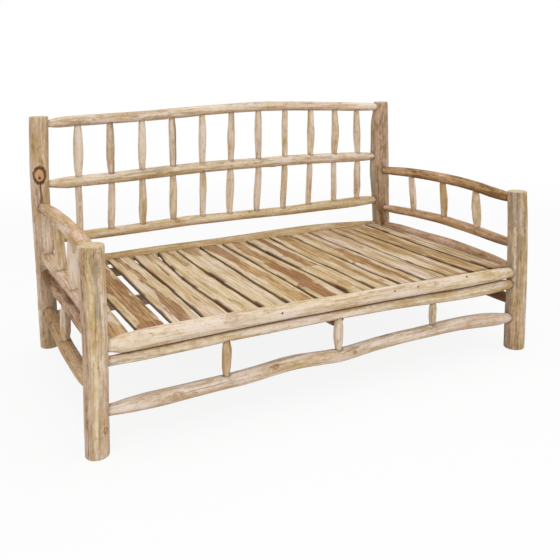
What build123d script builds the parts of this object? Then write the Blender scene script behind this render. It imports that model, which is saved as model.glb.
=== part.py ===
"""Rustic log daybed bench of peeled branch wood.

Four upright posts carry tenoned rails and logs. A slatted back stands between the
rear posts, spindled arms stand at both ends, and fifteen split slats lie from the
front seat log to the back seat log.

Frame: millimetres, X along the bench, Y from the front to the back, Z up.
The origin lies on the floor below the middle of the bench.
"""

from build123d import *
import os

os.makedirs("parts", exist_ok=True)

# ---------------------------------------------------------------- driving dimensions
POST_HALF_SPACING_X = 950  # post axes at seat level, left to right
POST_HALF_SPACING_Y = 525  # post axes, front to back
SEAT_LEVEL = 420  # the height at which the spacing is measured
POST_SPLAY = 0.0196  # posts lean outward towards the floor, mm per mm
FRONT_POST_HEIGHT = 734
BACK_POST_HEIGHT = 1088

TENON_TIP = 26  # from a post's axis to the tips of the tenons in it
SHOULDER_GAP = 5  # bare tenon between a post and the shoulder of a rail
SPINDLE_TIP = 12  # from a rail's axis to the tips of the spindles in it
SPINDLE_SHOULDER = 3  # bare tenon between a rail and the body of a spindle
SPINDLE_TENON_RADIUS = 15
SHORT_SPINDLE_TIP = 4
SHORT_SPINDLE_TENON_RADIUS = 12

SLAT_TOP = 389
SLAT_THICKNESS = 18
SLAT_END = 512  # slat ends, from the middle of the bench, housed in the seat logs

SCREW_HEAD_RADIUS = 4.5
SCREW_SHANK_RADIUS = 2.5
SCREW_HEAD_LENGTH = 4
SCREW_SINK = 5  # depth of the screw heads below the surface of the log
SCREW_TIP_Y = -480
SCREW_Z = 386
SCREW_POSITIONS_X = (-258, 261, 378, 645)

SECTION_STEP = 60  # spacing of the round sections along a branch
LEAST_SECTION_STEPS = 12
END_SECTION = 22  # a long branch has one more section this far from each end


# ---------------------------------------------------------------- helpers
def smooth_stations(stations):
    """Evenly spaced stations on a smooth curve through the given ones."""
    last = len(stations) - 1
    first_at, last_at = stations[0][0], stations[last][0]
    length = last_at - first_at
    steps = max(LEAST_SECTION_STEPS, round(length / SECTION_STEP))
    places = [first_at + length * step / steps for step in range(steps + 1)]
    if length / steps > 2 * END_SECTION:
        places = sorted(places + [first_at + END_SECTION, last_at - END_SECTION])

    def slope(index, column):
        low, high = stations[max(index - 1, 0)], stations[min(index + 1, last)]
        return (high[column] - low[column]) / (high[0] - low[0])

    curve = []
    for at in places:
        index = next((number for number in range(1, last) if at <= stations[number][0]), last)
        low, high = stations[index - 1], stations[index]
        span = high[0] - low[0]
        t = (at - low[0]) / span
        row = [at]
        for column in range(1, len(low)):
            start, end = low[column], high[column]
            pull = (1 - t) * slope(index - 1, column) - t * slope(index, column)
            row.append(start + (end - start) * t * t * (3 - 2 * t) + span * t * (1 - t) * pull)
        curve.append(tuple(row))
    return curve


def between(stations, at, column):
    """Value of one column of a station list at a place along its first column."""
    rows = sorted(stations)
    for low, high in zip(rows, rows[1:]):
        if at <= high[0]:
            share = max(0, (at - low[0]) / (high[0] - low[0]))
            return low[column] + share * (high[column] - low[column])
    return rows[-1][column]


def point_on(axis, along, side, up):
    """Point with its place along a main axis, its sideways place and its height."""
    if axis == "x":
        return Vector(along, side, up)
    if axis == "y":
        return Vector(side, along, up)
    return Vector(side, up, along)


AXIS_DIRECTION = {"x": (1, 0, 0), "y": (0, 1, 0), "z": (0, 0, 1)}
AXIS_CROSS_DIRECTION = {"x": (0, 1, 0), "y": (0, 0, 1), "z": (1, 0, 0)}


def section_plane(axis, point):
    return Plane(origin=point, x_dir=AXIS_CROSS_DIRECTION[axis], z_dir=AXIS_DIRECTION[axis])


def branch(axis, stations):
    """Branch through round sections (along, side, up, radius)."""
    sections = []
    for along, side, up, radius in stations:
        sections.append(section_plane(axis, point_on(axis, along, side, up)) * Circle(radius))
    return loft(sections, ruled=True)


def tenon(axis, station, tip):
    """Round tenon from an end section of a branch to its tip."""
    along, side, up, radius = station
    start = point_on(axis, along, side, up)
    disc = section_plane(axis, start) * Circle(radius)
    return extrude(disc, amount=tip - along)


# ---------------------------------------------------------------- posts
# Stations: height, shift along X from the splayed axis, radius.
POSTS = {
    "post_front_left": (-1, -1, [
        (0, 0, 42.5), (200, 1, 43), (400, 3.5, 43.5), (600, 1, 44.5), (FRONT_POST_HEIGHT, 0, 44.5)]),
    "post_front_right": (1, -1, [
        (0, -1, 47), (120, 3, 47), (460, 8, 45), (FRONT_POST_HEIGHT, -2, 43)]),
    "post_back_left": (-1, 1, [
        (0, 4, 43), (300, 0, 42.5), (600, -7, 42), (830, -10, 42.5), (1000, -6, 43.5),
        (BACK_POST_HEIGHT, -4, 43)]),
    "post_back_right": (1, 1, [
        (0, 0, 48), (300, -4, 50), (550, -9, 52), (680, -14, 55.5), (830, -11, 52),
        (980, -10, 50), (1040, -3, 44), (BACK_POST_HEIGHT, 0, 40)]),
}


def post_place(name, height):
    """Axis (x, y) and radius of a post at a height."""
    side_x, side_y, stations = POSTS[name]
    shift, radius = (between(smooth_stations(stations), height, column) for column in (1, 2))
    x = side_x * (POST_HALF_SPACING_X + POST_SPLAY * (SEAT_LEVEL - height))
    return x + shift, side_y * POST_HALF_SPACING_Y, radius


def post(name):
    heights = [row[0] for row in smooth_stations(POSTS[name][2])]
    return branch("z", [(height, *post_place(name, height)) for height in heights])


# ---------------------------------------------------------------- rails and logs
# Each rail lists the radii and the heights of its two tenons, and its stations between
# them: (place along the rail, sideways shift, height of the axis, radius).
RAILS_ALONG_X = {
    "top_rail": ("back", (17, 20), (1054, 1061), [
        (-872, 2, 1055, 22.5), (-830, 3, 1058, 25), (-665, 4, 1063, 25.5), (-485, 4, 1067, 25.5),
        (-296, 1, 1075, 26), (-100, -1, 1085, 25.5), (140, -4, 1091, 25.5),
        (290, -4, 1089, 25), (440, -2, 1083, 25), (600, 1, 1075, 24), (760, 2, 1067, 24),
        (866, 1, 1062, 22.5)]),
    "middle_rail": ("back", (17, 21), (776, 777), [
        (-872, 0, 775, 23.5), (-835, 1, 776, 27), (-679, 2, 778, 27), (-497, 3, 783, 28),
        (-306, 2, 790, 28), (-119, 0, 795, 27.5), (135, -3, 794, 26.5), (283, -4, 794, 27.5),
        (437, -3, 792, 27.5), (597, -2, 787, 27.5), (762, 0, 781, 26.5), (842, 0, 778, 24)]),
    "lower_back_rail": ("back", (16, 21), (513, 521), [
        (-868, 0, 514, 21), (-780, 1, 514, 23.5), (-570, 2, 516, 24), (-445, 3, 519, 25),
        (-250, 2, 525, 25), (-100, 0, 523, 24), (60, -1, 522, 23.5), (204, -2, 519, 23.5),
        (356, -2, 517.5, 24.5), (515, -2, 520, 26.5), (679, 0, 520, 28), (800, 1, 521, 27),
        (846, 0, 521, 24.5)]),
    "front_seat_log": ("front", (20, 22), (379, 362), [
        (-880, 0, 378, 28.5), (-850, 0, 379, 32), (-780, -1, 382, 34), (-600, -2, 383.8, 33.2),
        (-400, 0, 382.5, 31.5), (-200, 2, 378.7, 29.3), (100, 2, 374.5, 28.5), (300, 0, 373, 28.5),
        (500, -2, 369.2, 28.7), (610, -2, 366, 29.3), (700, -1, 364.5, 28.5),
        (880, 0, 361.8, 25.6)]),
    "front_lower_log": ("front", (17.5, 20), (325.5, 307), [
        (-868, 0, 325.4, 18.9), (-800, 0, 325.5, 20), (-450, 2, 327.7, 19.7),
        (-200, 3, 326.7, 19.7), (0, 2, 325.5, 19), (240, 0, 322.7, 20.2), (342, 0, 320.2, 22.2),
        (542, -1, 311.2, 24.2), (740, 0, 307, 26.5), (840, 0, 308.2, 25.4), (880, 0, 309, 24.2)]),
    "front_stretcher": ("front", (20, 21), (152, 149), [
        (-872, 0, 152, 24), (-814, 1, 153, 28), (-724, 1, 152.5, 29), (-600, 0, 155, 27.5),
        (-500, -2, 157.5, 27), (-415, -3, 159, 28), (-333, -2, 163, 28), (-253, 0, 169, 28),
        (-171, 1, 169, 28), (-60, 2, 160, 27), (10, 3, 155, 27.5), (70, 4, 156.5, 27),
        (145, 3, 164, 26.5), (265, 1, 171, 26), (424, -2, 173, 26), (505, -2, 175, 28),
        (616, -2, 173.5, 28.5), (760, -1, 164, 30.5), (840, 0, 154, 29), (876, 0, 150, 24)]),
    "back_seat_log": ("back", (20, 20), (376, 374), [
        (-865, 0, 377, 24), (-780, 0, 379, 27.5), (-500, 2, 385, 28), (-100, 1, 384, 30),
        (100, -1, 385, 31), (300, -2, 389, 30.5), (540, 0, 387, 30), (700, 1, 379, 29),
        (840, 0, 374, 25)]),
    "back_lower_log": ("back", (15, 15), (315, 308), [
        (-865, 0, 315, 19), (-780, 0, 314, 22), (-400, 3, 312, 23), (0, 1, 312, 23),
        (400, -2, 313, 23), (760, 0, 309, 22), (835, 0, 308, 19)]),
    "back_stretcher": ("back", (19, 19), (148, 150), [
        (-865, 0, 148, 23), (-780, 0, 148, 28), (-350, 3, 151, 28), (20, -2, 160, 28),
        (380, -3, 158, 28), (740, 1, 152, 27), (835, 0, 150, 23)]),
}

RAILS_ALONG_Y = {
    "arm_rail_left": ("left", (20, 20), (706, 673), [
        (-440, 0, 707, 27), (-370, -2, 712, 31), (-120, -5, 716, 29.5), (130, -3, 706, 28),
        (340, 0, 690, 25.5), (440, 0, 679, 23)]),
    "lower_arm_rail_left": ("left", (18, 18), (484, 461), [
        (-440, 0, 483, 20), (-350, 2, 478, 23), (-200, 3, 473, 24.4), (0, 4, 466, 26.7),
        (200, 3, 461.5, 30), (350, 1, 460, 32), (430, 0, 461, 31)]),
    "side_seat_rail_left": ("left", (19, 19), (399, 362), [
        (-440, 0, 399, 21), (-370, -1, 399, 24), (-200, -2, 394, 24.5), (0, -3, 387, 24.5),
        (200, -2, 366, 24.5), (370, -3, 361, 25), (440, -4, 363, 25)]),
    "side_stretcher_left": ("left", (20, 20), (220, 178), [
        (-440, 0, 219, 24), (-370, -2, 213, 29), (-180, -3, 196, 29.5), (0, -4, 185, 30),
        (200, -3, 186, 30), (360, -2, 181, 29.5), (440, 0, 179, 25)]),
    "arm_rail_right": ("right", (21, 19), (699, 697), [
        (-445, 0, 700, 24), (-360, 2, 705, 25.5), (-280, 3, 713, 25.5), (-130, 4, 720, 25.5),
        (65, 4, 720, 25), (275, 2, 713, 24.5), (390, 0, 704, 23.5), (440, 0, 700, 22)]),
    "lower_arm_rail_right": ("right", (19, 17), (485, 476), [
        (-445, 0, 486, 21.5), (-390, 1, 488, 23), (-250, 3, 495, 23.5), (-130, 4, 498, 24),
        (0, 4, 501, 23.5), (250, 2, 491, 22), (390, 0, 481, 22), (440, 0, 478, 20)]),
    "side_seat_rail_right": ("right", (20, 20), (368, 372), [
        (-435, 0, 370, 25), (-350, 1, 374, 28), (-248, 2, 378, 28), (-64, 2, 383, 28),
        (138, 2, 377, 28), (350, 0, 374, 28), (435, 0, 372, 24)]),
    "side_stretcher_right": ("right", (20, 20), (214, 190), [
        (-435, 0, 219, 26), (-360, 2, 226, 33), (-200, 3, 222, 34), (0, 3, 214, 34),
        (360, 1, 198, 33), (435, 0, 193, 25)]),
}


def rail_stations(name):
    """All stations of a rail (along, side, up, radius) with its two end sections."""
    if name in RAILS_ALONG_X:
        row, radii, heights, inner = RAILS_ALONG_X[name]
        posts = (f"post_{row}_left", f"post_{row}_right")
        along_index, side_index = 0, 1
    else:
        row, radii, heights, inner = RAILS_ALONG_Y[name]
        posts = (f"post_front_{row}", f"post_back_{row}")
        along_index, side_index = 1, 0
    ends = []
    for post_name, radius, height, inward in zip(posts, radii, heights, (1, -1)):
        place = post_place(post_name, height)
        along = place[along_index] + inward * (place[2] + SHOULDER_GAP)
        tip = place[along_index] + inward * TENON_TIP
        ends.append(((along, place[side_index], height, radius), tip))
    (start, start_tip), (end, end_tip) = ends
    stations = [start]
    for along, shift, height, section_radius in inner:
        share = (along - start[0]) / (end[0] - start[0])
        side = start[1] + share * (end[1] - start[1])
        stations.append((along, side + shift, height, section_radius))
    stations.append(end)
    return smooth_stations(stations), start_tip, end_tip


def rail(name):
    axis = "x" if name in RAILS_ALONG_X else "y"
    stations, start_tip, end_tip = rail_stations(name)
    return branch(axis, stations) + tenon(axis, stations[0], start_tip) + tenon(axis, stations[-1], end_tip)


# ---------------------------------------------------------------- spindles
# Each spindle lists its place along the rails and, from its foot to its head, five
# places of its axis and five radii.
SPINDLE_SHARES = (0.08, 0.29, 0.5, 0.71, 0.92)

UPPER_BACK_SPINDLES = [
    ((-777, -774, -772, -771, -769), (18.5, 22, 23, 22, 19)),
    ((-623, -624, -622, -620, -619), (17, 19.5, 20, 19, 17)),
    ((-471, -469, -467, -465, -464), (17, 19.5, 20, 18.5, 17)),
    ((-314, -313, -313, -312, -313), (17, 17.5, 18, 18.5, 17)),
    ((-160, -158, -156, -154, -155), (17, 18.5, 20.5, 19.5, 17)),
    ((-3, 0, 0, 2, 5), (15.8, 18.5, 20, 17.5, 15.8)),
    ((154, 154, 154, 155, 157), (15.8, 18, 19, 19, 17.5)),
    ((311, 311, 311, 312, 314), (16, 16, 16.5, 16.5, 16)),
    ((469, 472, 473, 473, 473), (17.5, 19.5, 21.5, 18, 16.5)),
    ((623, 627, 631, 630, 627), (18, 20.5, 21, 19, 17)),
    ((778, 775, 774, 773, 772), (17, 20, 21, 18.5, 17)),
]
LOWER_BACK_SPINDLES = [
    ((-784, -783, -782, -781, -781), (16, 16, 16, 16, 16)),
    ((-635, -632, -629, -627, -624), (17, 18, 17.5, 17.5, 16.5)),
    ((-479, -477, -474, -473, -473), (17, 20.5, 19.5, 18, 17)),
    ((-322, -321, -319, -317, -317), (18, 19, 19.5, 19, 17)),
    ((-166, -163, -161, -159, -159), (16, 16.5, 18, 18.5, 17)),
    ((-17, -15, -12, -9, -7), (17, 19.5, 21.5, 21.5, 18.5)),
    ((139, 142, 146, 150, 153), (17, 18.5, 19, 18, 17)),
    ((297, 299, 303, 306, 308), (16, 17.5, 17, 17.5, 17)),
    ((454, 456, 459, 462, 464), (15.8, 16, 16, 16.5, 16)),
    ((618, 620, 620, 619, 619), (16, 16.5, 16, 16, 16)),
    ((774, 777, 777, 776, 778), (17.5, 19.5, 19, 19.5, 18)),
]
FRONT_SHORT_SPINDLES = [
    ((-481, -479, -477, -475, -475), (15.8, 17, 18, 18.5, 17)),
    ((5, 4, 4, 5, 5), (16, 19.5, 20, 19.5, 18)),
    ((474, 474, 475, 476, 477), (16, 16.5, 16.5, 17, 17)),
]
BACK_SHORT_SPINDLES = [
    ((-478, -476, -474, -473, -472), (16, 17, 18, 17.5, 16)),
    ((-6, -4, -3, -4, -5), (16, 18, 19, 18.5, 17)),
    ((466, 468, 470, 470, 469), (16, 17.5, 18, 17, 16)),
]
LEFT_ARM_SPINDLES = [
    ((-212, -214, -216, -216, -214), (20, 23, 24, 22, 18)),
    ((84, 84, 85, 87, 88), (22.5, 22.5, 21, 20, 18)),
    ((365, 367, 370, 371, 370), (24, 25.5, 26, 24, 19)),
]
RIGHT_ARM_SPINDLES = [
    ((-264, -263, -261, -260, -260), (19, 21.5, 22, 21, 17.5)),
    ((-24, -26, -27, -25, -21), (17, 18.5, 20, 19, 17)),
    ((222, 222, 224, 227, 231), (17, 17.5, 18, 18, 17)),
]
LEFT_SHORT_SPINDLE = ((16, 17, 19, 21, 22), (19, 21, 22, 20, 18))
RIGHT_SHORT_SPINDLE = ((-10, -8, -6, -5, -5), (18, 20, 21, 19, 17))


def spindle(shape, foot_rail, head_rail, tenon_radius=SPINDLE_TENON_RADIUS, tip=SPINDLE_TIP):
    """Upright spindle tenoned into a rail below it and a rail above it."""
    places, radii = shape
    along_x = foot_rail in RAILS_ALONG_X
    foot_stations = rail_stations(foot_rail)[0]
    head_stations = rail_stations(head_rail)[0]

    def rail_at(stations, along):
        return tuple(between(stations, along, column) for column in (1, 2, 3))

    foot_side, foot_axis, foot_radius = rail_at(foot_stations, places[0])
    head_side, head_axis, head_radius = rail_at(head_stations, places[-1])
    bottom = foot_axis + foot_radius + SPINDLE_SHOULDER
    top = head_axis - head_radius - SPINDLE_SHOULDER

    def station(height, along, side, radius):
        x, y = (along, side) if along_x else (side, along)
        return height, x, y, radius

    stations = [station(bottom, places[0], foot_side, tenon_radius)]
    for share, along, radius in zip(SPINDLE_SHARES, places, radii):
        side = foot_side + share * (head_side - foot_side)
        stations.append(station(bottom + share * (top - bottom), along, side, radius))
    stations.append(station(top, places[-1], head_side, tenon_radius))
    foot_tenon = tenon("z", stations[0], foot_axis + tip)
    head_tenon = tenon("z", stations[-1], head_axis - tip)
    return branch("z", smooth_stations(stations)) + foot_tenon + head_tenon


def short_spindle(shape, foot_rail, head_rail):
    return spindle(shape, foot_rail, head_rail, SHORT_SPINDLE_TENON_RADIUS, SHORT_SPINDLE_TIP)


# ---------------------------------------------------------------- cross bearer
# One log runs from the front lower log to the back lower log under the seat.
BEARER_X = 34
BEARER_TENON_RADIUS = 11
BEARER_TIP = 4  # from the axes of the lower logs to the tips of the bearer
BEARER_STATIONS = [
    (-490, 0, 291, 23), (-475, 0, 281, 28), (-400, 0, 274, 29), (-250, -3, 275, 27),
    (50, 2, 279, 26), (300, 1, 286, 24), (455, 0, 292, 22), (480, 0, 302, 17)]
BEARER_END_HEIGHTS = (316, 308)


def cross_bearer():
    ends = []
    for log_name, height, inward in (("front_lower_log", BEARER_END_HEIGHTS[0], 1),
                                     ("back_lower_log", BEARER_END_HEIGHTS[1], -1)):
        log_stations = rail_stations(log_name)[0]
        log_y = between(log_stations, BEARER_X, 1)
        log_radius = between(log_stations, BEARER_X, 3)
        shoulder = log_y + inward * (log_radius + SHOULDER_GAP)
        ends.append(((shoulder, BEARER_X, height, BEARER_TENON_RADIUS), log_y + inward * BEARER_TIP))
    (start, start_tip), (end, end_tip) = ends
    inner = [(along, BEARER_X + shift, up, radius) for along, shift, up, radius in BEARER_STATIONS]
    body = branch("y", smooth_stations([start] + inner + [end]))
    return body + tenon("y", start, start_tip) + tenon("y", end, end_tip)


# ---------------------------------------------------------------- seat slats
# The split slats leave uneven gaps. Each gap lists the X of its middle at five places
# from the front to the back of the seat, then its width at the same places.
GAP_PLACES_Y = (-SLAT_END, -250, -40, 190, SLAT_END)
SLAT_GAPS = [
    ((-800, -806, -809, -810, -811), (32, 26, 16, 11, 10)),
    ((-664, -671, -675, -678, -677), (26, 26, 29, 28, 20)),
    ((-539, -538, -539, -548, -551), (16, 8, 6, 10, 19)),
    ((-424, -436, -449, -445, -426), (15, 11, 7, 9, 15)),
    ((-298, -309, -319, -327, -324), (14, 12, 14, 9, 7)),
    ((-186, -194, -199, -198, -204), (15, 12, 10, 12, 12)),
    ((-63, -66, -71, -76, -79), (17, 8, 6, 8, 10)),
    ((82, 78, 64, 56, 56), (17, 13, 9, 16, 14)),
    ((204, 201, 192, 187, 193), (13, 9, 7, 6, 13)),
    ((334, 320, 318, 315, 315), (14, 10, 7, 6, 7)),
    ((458, 447, 445, 436, 435), (18, 10, 7, 7, 9)),
    ((580, 562, 562, 564, 567), (7, 8, 6, 7, 6)),
    ((708, 694, 691, 689, 688), (18, 13, 13, 14, 8)),
    ((817, 812, 810, 806, 812), (18, 16, 14, 13, 12)),
]
SEAT_LEFT_EDGE = (-900, -902, -904, -903, -898)
SEAT_RIGHT_EDGE = (900, 904, 908, 904, 876)


def slat_edges(number):
    """X of the left and the right edge of a slat at the five places along it."""
    left, right = SEAT_LEFT_EDGE, SEAT_RIGHT_EDGE
    if number > 0:
        middles, widths = SLAT_GAPS[number - 1]
        left = [middle + width / 2 for middle, width in zip(middles, widths)]
    if number < len(SLAT_GAPS):
        middles, widths = SLAT_GAPS[number]
        right = [middle - width / 2 for middle, width in zip(middles, widths)]
    return left, right


def slat(number):
    left, right = slat_edges(number)
    outline = list(zip(left, GAP_PLACES_Y)) + list(zip(right, GAP_PLACES_Y))[::-1]
    face = make_face(Polyline(*outline, close=True))
    return extrude(Pos(0, 0, SLAT_TOP) * face, amount=-SLAT_THICKNESS, dir=(0, 0, 1))


# ---------------------------------------------------------------- seat screws
def screw_front_y(x):
    """Y of the seat log's front surface at the height of the screws."""
    stations = rail_stations("front_seat_log")[0]
    side, up, radius = (between(stations, x, column) for column in (1, 2, 3))
    return side - (radius**2 - (SCREW_Z - up) ** 2) ** 0.5


def screw(x):
    """Screw along Y: a head below the log's surface and a shank into the slat."""
    head_y = screw_front_y(x) + SCREW_SINK
    head_plane = section_plane("y", Vector(x, head_y, SCREW_Z))
    head = extrude(head_plane * Circle(SCREW_HEAD_RADIUS), amount=SCREW_HEAD_LENGTH)
    shank = extrude(head_plane * Circle(SCREW_SHANK_RADIUS), amount=SCREW_TIP_Y - head_y)
    return head + shank


def screw_counterbore(x):
    """Open hole from in front of the log down to the seat of the screw's head."""
    start = screw_front_y(x) - SCREW_SINK
    plane = section_plane("y", Vector(x, start, SCREW_Z))
    return extrude(plane * Circle(SCREW_HEAD_RADIUS), amount=2 * SCREW_SINK + SCREW_HEAD_LENGTH)


# ---------------------------------------------------------------- the whole bench
def build_bench():
    """All pieces by name. Every tenon's socket is cut with the tenon itself."""
    posts = {name: post(name) for name in POSTS}
    rails = {name: rail(name) for name in list(RAILS_ALONG_X) + list(RAILS_ALONG_Y)}
    bench = {}

    def fit(piece, *carriers):
        """Cut the sockets of a piece into the members that carry it."""
        for group, name in carriers:
            group[name] = group[name] - piece

    for number, (upper, lower) in enumerate(zip(UPPER_BACK_SPINDLES, LOWER_BACK_SPINDLES), 1):
        upper_spindle = spindle(upper, "middle_rail", "top_rail")
        lower_spindle = spindle(lower, "lower_back_rail", "middle_rail")
        fit(upper_spindle, (rails, "middle_rail"), (rails, "top_rail"))
        fit(lower_spindle, (rails, "lower_back_rail"), (rails, "middle_rail"))
        bench[f"back_spindles_{number:02d}"] = Compound(children=[upper_spindle, lower_spindle])

    for side, shapes in (("left", LEFT_ARM_SPINDLES), ("right", RIGHT_ARM_SPINDLES)):
        foot, head = f"lower_arm_rail_{side}", f"arm_rail_{side}"
        for number, shape in enumerate(shapes, 1):
            piece = spindle(shape, foot, head)
            fit(piece, (rails, foot), (rails, head))
            bench[f"arm_spindle_{side}_{number}"] = piece
    for side, shape in (("left", LEFT_SHORT_SPINDLE), ("right", RIGHT_SHORT_SPINDLE)):
        foot, head = f"side_stretcher_{side}", f"side_seat_rail_{side}"
        piece = short_spindle(shape, foot, head)
        fit(piece, (rails, foot), (rails, head))
        bench[f"side_short_spindle_{side}"] = piece

    for row, shapes in (("front", FRONT_SHORT_SPINDLES), ("back", BACK_SHORT_SPINDLES)):
        foot, head = f"{row}_stretcher", f"{row}_lower_log"
        pieces = [short_spindle(shape, foot, head) for shape in shapes]
        for piece in pieces:
            fit(piece, (rails, foot), (rails, head))
        bench[f"{row}_short_spindles"] = Compound(children=pieces)

    bearer = cross_bearer()
    fit(bearer, (rails, "front_lower_log"), (rails, "back_lower_log"))
    bench["cross_bearer"] = bearer

    slats = {f"seat_slat_{number + 1:02d}": slat(number) for number in range(len(SLAT_GAPS) + 1)}
    for piece in slats.values():
        fit(piece, (rails, "front_seat_log"), (rails, "back_seat_log"))

    screws = [screw(x) for x in SCREW_POSITIONS_X]
    for x, piece in zip(SCREW_POSITIONS_X, screws):
        fit(screw_counterbore(x), (rails, "front_seat_log"))
        fit(piece, (rails, "front_seat_log"))
        for name, board in slats.items():
            box = board.bounding_box()
            if box.min.X < x < box.max.X:
                fit(piece, (slats, name))
    bench["seat_screws"] = Compound(children=screws)
    bench.update(slats)

    for name in rails:
        _stations, start_tip, end_tip = rail_stations(name)
        row = (RAILS_ALONG_X if name in RAILS_ALONG_X else RAILS_ALONG_Y)[name][0]
        if name in RAILS_ALONG_X:
            post_names = (f"post_{row}_left", f"post_{row}_right")
        else:
            post_names = (f"post_front_{row}", f"post_back_{row}")
        fit(rails[name], *((posts, post_name) for post_name in post_names))
    bench.update(rails)
    bench.update(posts)
    return bench


for node, shape in build_bench().items():
    shape.label = node
    export_step(shape, f"parts/{node}.step")
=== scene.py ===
"""Looks of a rustic log daybed bench: peeled branches, whittled ends and sawn slats.

Run as a script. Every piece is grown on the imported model's own surface, in metres.
"""

import functools
import math
import zlib

import bmesh
import bpy
import numpy as np
from bpy.props import FloatProperty, FloatVectorProperty, PointerProperty
from mathutils import Matrix, Vector
from mathutils.bvhtree import BVHTree


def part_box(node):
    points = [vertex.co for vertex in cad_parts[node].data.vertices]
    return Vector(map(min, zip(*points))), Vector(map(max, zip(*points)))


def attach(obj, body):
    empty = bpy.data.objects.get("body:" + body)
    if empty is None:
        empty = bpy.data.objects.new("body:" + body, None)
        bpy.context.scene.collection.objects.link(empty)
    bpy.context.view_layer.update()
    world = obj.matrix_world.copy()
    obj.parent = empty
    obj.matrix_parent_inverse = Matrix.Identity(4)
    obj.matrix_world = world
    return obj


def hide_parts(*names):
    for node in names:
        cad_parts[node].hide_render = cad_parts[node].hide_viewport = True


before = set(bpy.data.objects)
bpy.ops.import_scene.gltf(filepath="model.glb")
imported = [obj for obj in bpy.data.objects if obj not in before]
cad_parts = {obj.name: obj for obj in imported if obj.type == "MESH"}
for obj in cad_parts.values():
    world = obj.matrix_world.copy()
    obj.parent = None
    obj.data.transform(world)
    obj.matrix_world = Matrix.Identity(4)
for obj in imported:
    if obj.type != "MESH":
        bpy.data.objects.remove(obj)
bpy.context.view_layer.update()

bl_info = {
    "name": "Rustic log bench",
    "version": (1, 0, 0),
    "blender": (4, 5, 0),
    "location": "View3D > Sidebar > Log bench",
    "description": "Peels, whittles and weathers the branches and slats of a log daybed bench",
    "category": "Object",
}


# ---- settings
def colour(name, description, default):
    return FloatVectorProperty(
        name=name, description=description, default=default, subtype="COLOR",
        size=3, min=0.0, max=1.0)


class BenchWood(bpy.types.PropertyGroup):
    """Colours of the wood, as they are seen (sRGB)."""

    cream: colour("Cream", "Palest rosy wood of the branches", (0.92, 0.85, 0.78))
    straw: colour("Straw", "Palest golden wood of branches and slats", (0.90, 0.83, 0.69))
    rose: colour("Rose", "Rosy middle tone", (0.78, 0.66, 0.55))
    honey: colour("Honey", "Golden middle tone", (0.76, 0.64, 0.45))
    umber: colour("Umber", "Rosy dark tone", (0.50, 0.36, 0.27))
    walnut: colour("Walnut", "Golden dark tone", (0.50, 0.38, 0.23))
    ochre: colour("Ochre", "Light heartwood of the slats", (0.79, 0.62, 0.38))
    brown: colour("Brown", "Heartwood of the slats", (0.62, 0.46, 0.28))
    russet: colour("Russet", "Reddest heartwood of the slats", (0.62, 0.43, 0.28))
    flesh: colour("Flesh", "Orange disc inside a strong knot", (0.82, 0.62, 0.45))
    weathered: colour("Weathered", "Grey streaks where bark lay longest", (0.60, 0.56, 0.49))
    # Colour of the painted shade on the slats' sides and undersides and between branches, and of the
    # dirt on waney edges.
    dirt: colour("Dirt", "Brown dirt on the sides of the slats", (0.36, 0.2, 0.1))
    knot: colour("Knot", "Hearts of knots, cracks and bark flecks", (0.26, 0.16, 0.10))
    steel: colour("Steel", "Dull heads of the seat screws", (0.30, 0.26, 0.23))
    rust: colour("Rust", "Rust on the screws", (0.33, 0.2, 0.13))


class BenchSkin(bpy.types.PropertyGroup):
    """How finely the wood is modelled, and how much painted shade its undersides get."""

    ring_step: FloatProperty(
        name="Ring step", description="Distance between rings along a log",
        default=0.006, min=0.003, max=0.03, unit="LENGTH")
    arc_step: FloatProperty(
        name="Arc step", description="Distance between points round a log",
        default=0.005, min=0.002, max=0.03, unit="LENGTH")
    relief: FloatProperty(
        name="Relief", description="Height of the lumps, as a share of the radius",
        default=0.03, min=0.0, max=0.1, subtype="FACTOR")
    slat_relief: FloatProperty(
        name="Slat relief", description="Height of the waves on a slat",
        default=0.0006, min=0.0, max=0.003, unit="LENGTH")
    # Painted shade: the underside of each lying branch is painted darker than its top.
    underside: FloatProperty(
        name="Underside", description="How much darker a rail's underside is than its top",
        default=0.32, min=0.0, max=1.0, subtype="FACTOR")


class BenchStage(bpy.types.PropertyGroup):
    """Floor, backdrop, lamps and camera."""

    floor: colour("Floor", "Floor under the bench", (0.96, 0.96, 0.96))
    key_power: FloatProperty(
        name="Key power", description="Large lamp ahead of the bench", default=80.0, unit="POWER")
    fill_power: FloatProperty(
        name="Fill power", description="Lamp on the right", default=25.0, unit="POWER")
    top_power: FloatProperty(
        name="Top power", description="Lamp above the seat", default=46.0, unit="POWER")
    sky: FloatProperty(
        name="Sky", description="Plain light from all round", default=0.58, min=0.0, max=2.0)


class BenchSettings(bpy.types.PropertyGroup):
    wood: PointerProperty(type=BenchWood)
    skin: PointerProperty(type=BenchSkin)
    stage: PointerProperty(type=BenchStage)


def settings():
    return bpy.context.scene.log_bench


# ---- shader maths
WHITE = (1.0, 1.0, 1.0, 1.0)


def seen(rgb, factor=1.0):
    """Linear RGBA of a colour given as it is seen, made lighter or darker by a factor."""
    values = [c / 12.92 if c <= 0.04045 else ((c + 0.055) / 1.055) ** 2.4 for c in rgb]
    return (*[min(1.0, c * factor) for c in values], 1.0)


class Signal:
    """An output of a shader node. Arithmetic on it adds the nodes that work it out."""

    def __init__(self, shader, socket):
        self.shader = shader
        self.socket = socket
        self.wide = socket.type != "VALUE"

    def _combine(self, operation, first, second):
        kind = "Math"
        if any(isinstance(term, tuple) or getattr(term, "wide", False) for term in (first, second)):
            kind = "VectorMath"
            first, second = (
                (term,) * 3 if isinstance(term, (int, float)) else term
                for term in (first, second))
        return self.shader.add(kind, {0: first, 1: second}, operation=operation)

    def __add__(self, other):
        return self._combine("ADD", self, other)

    __radd__ = __add__

    def __sub__(self, other):
        return self._combine("SUBTRACT", self, other)

    def __rsub__(self, other):
        return self._combine("SUBTRACT", other, self)

    def __mul__(self, other):
        return self._combine("MULTIPLY", self, other)

    __rmul__ = __mul__


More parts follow.
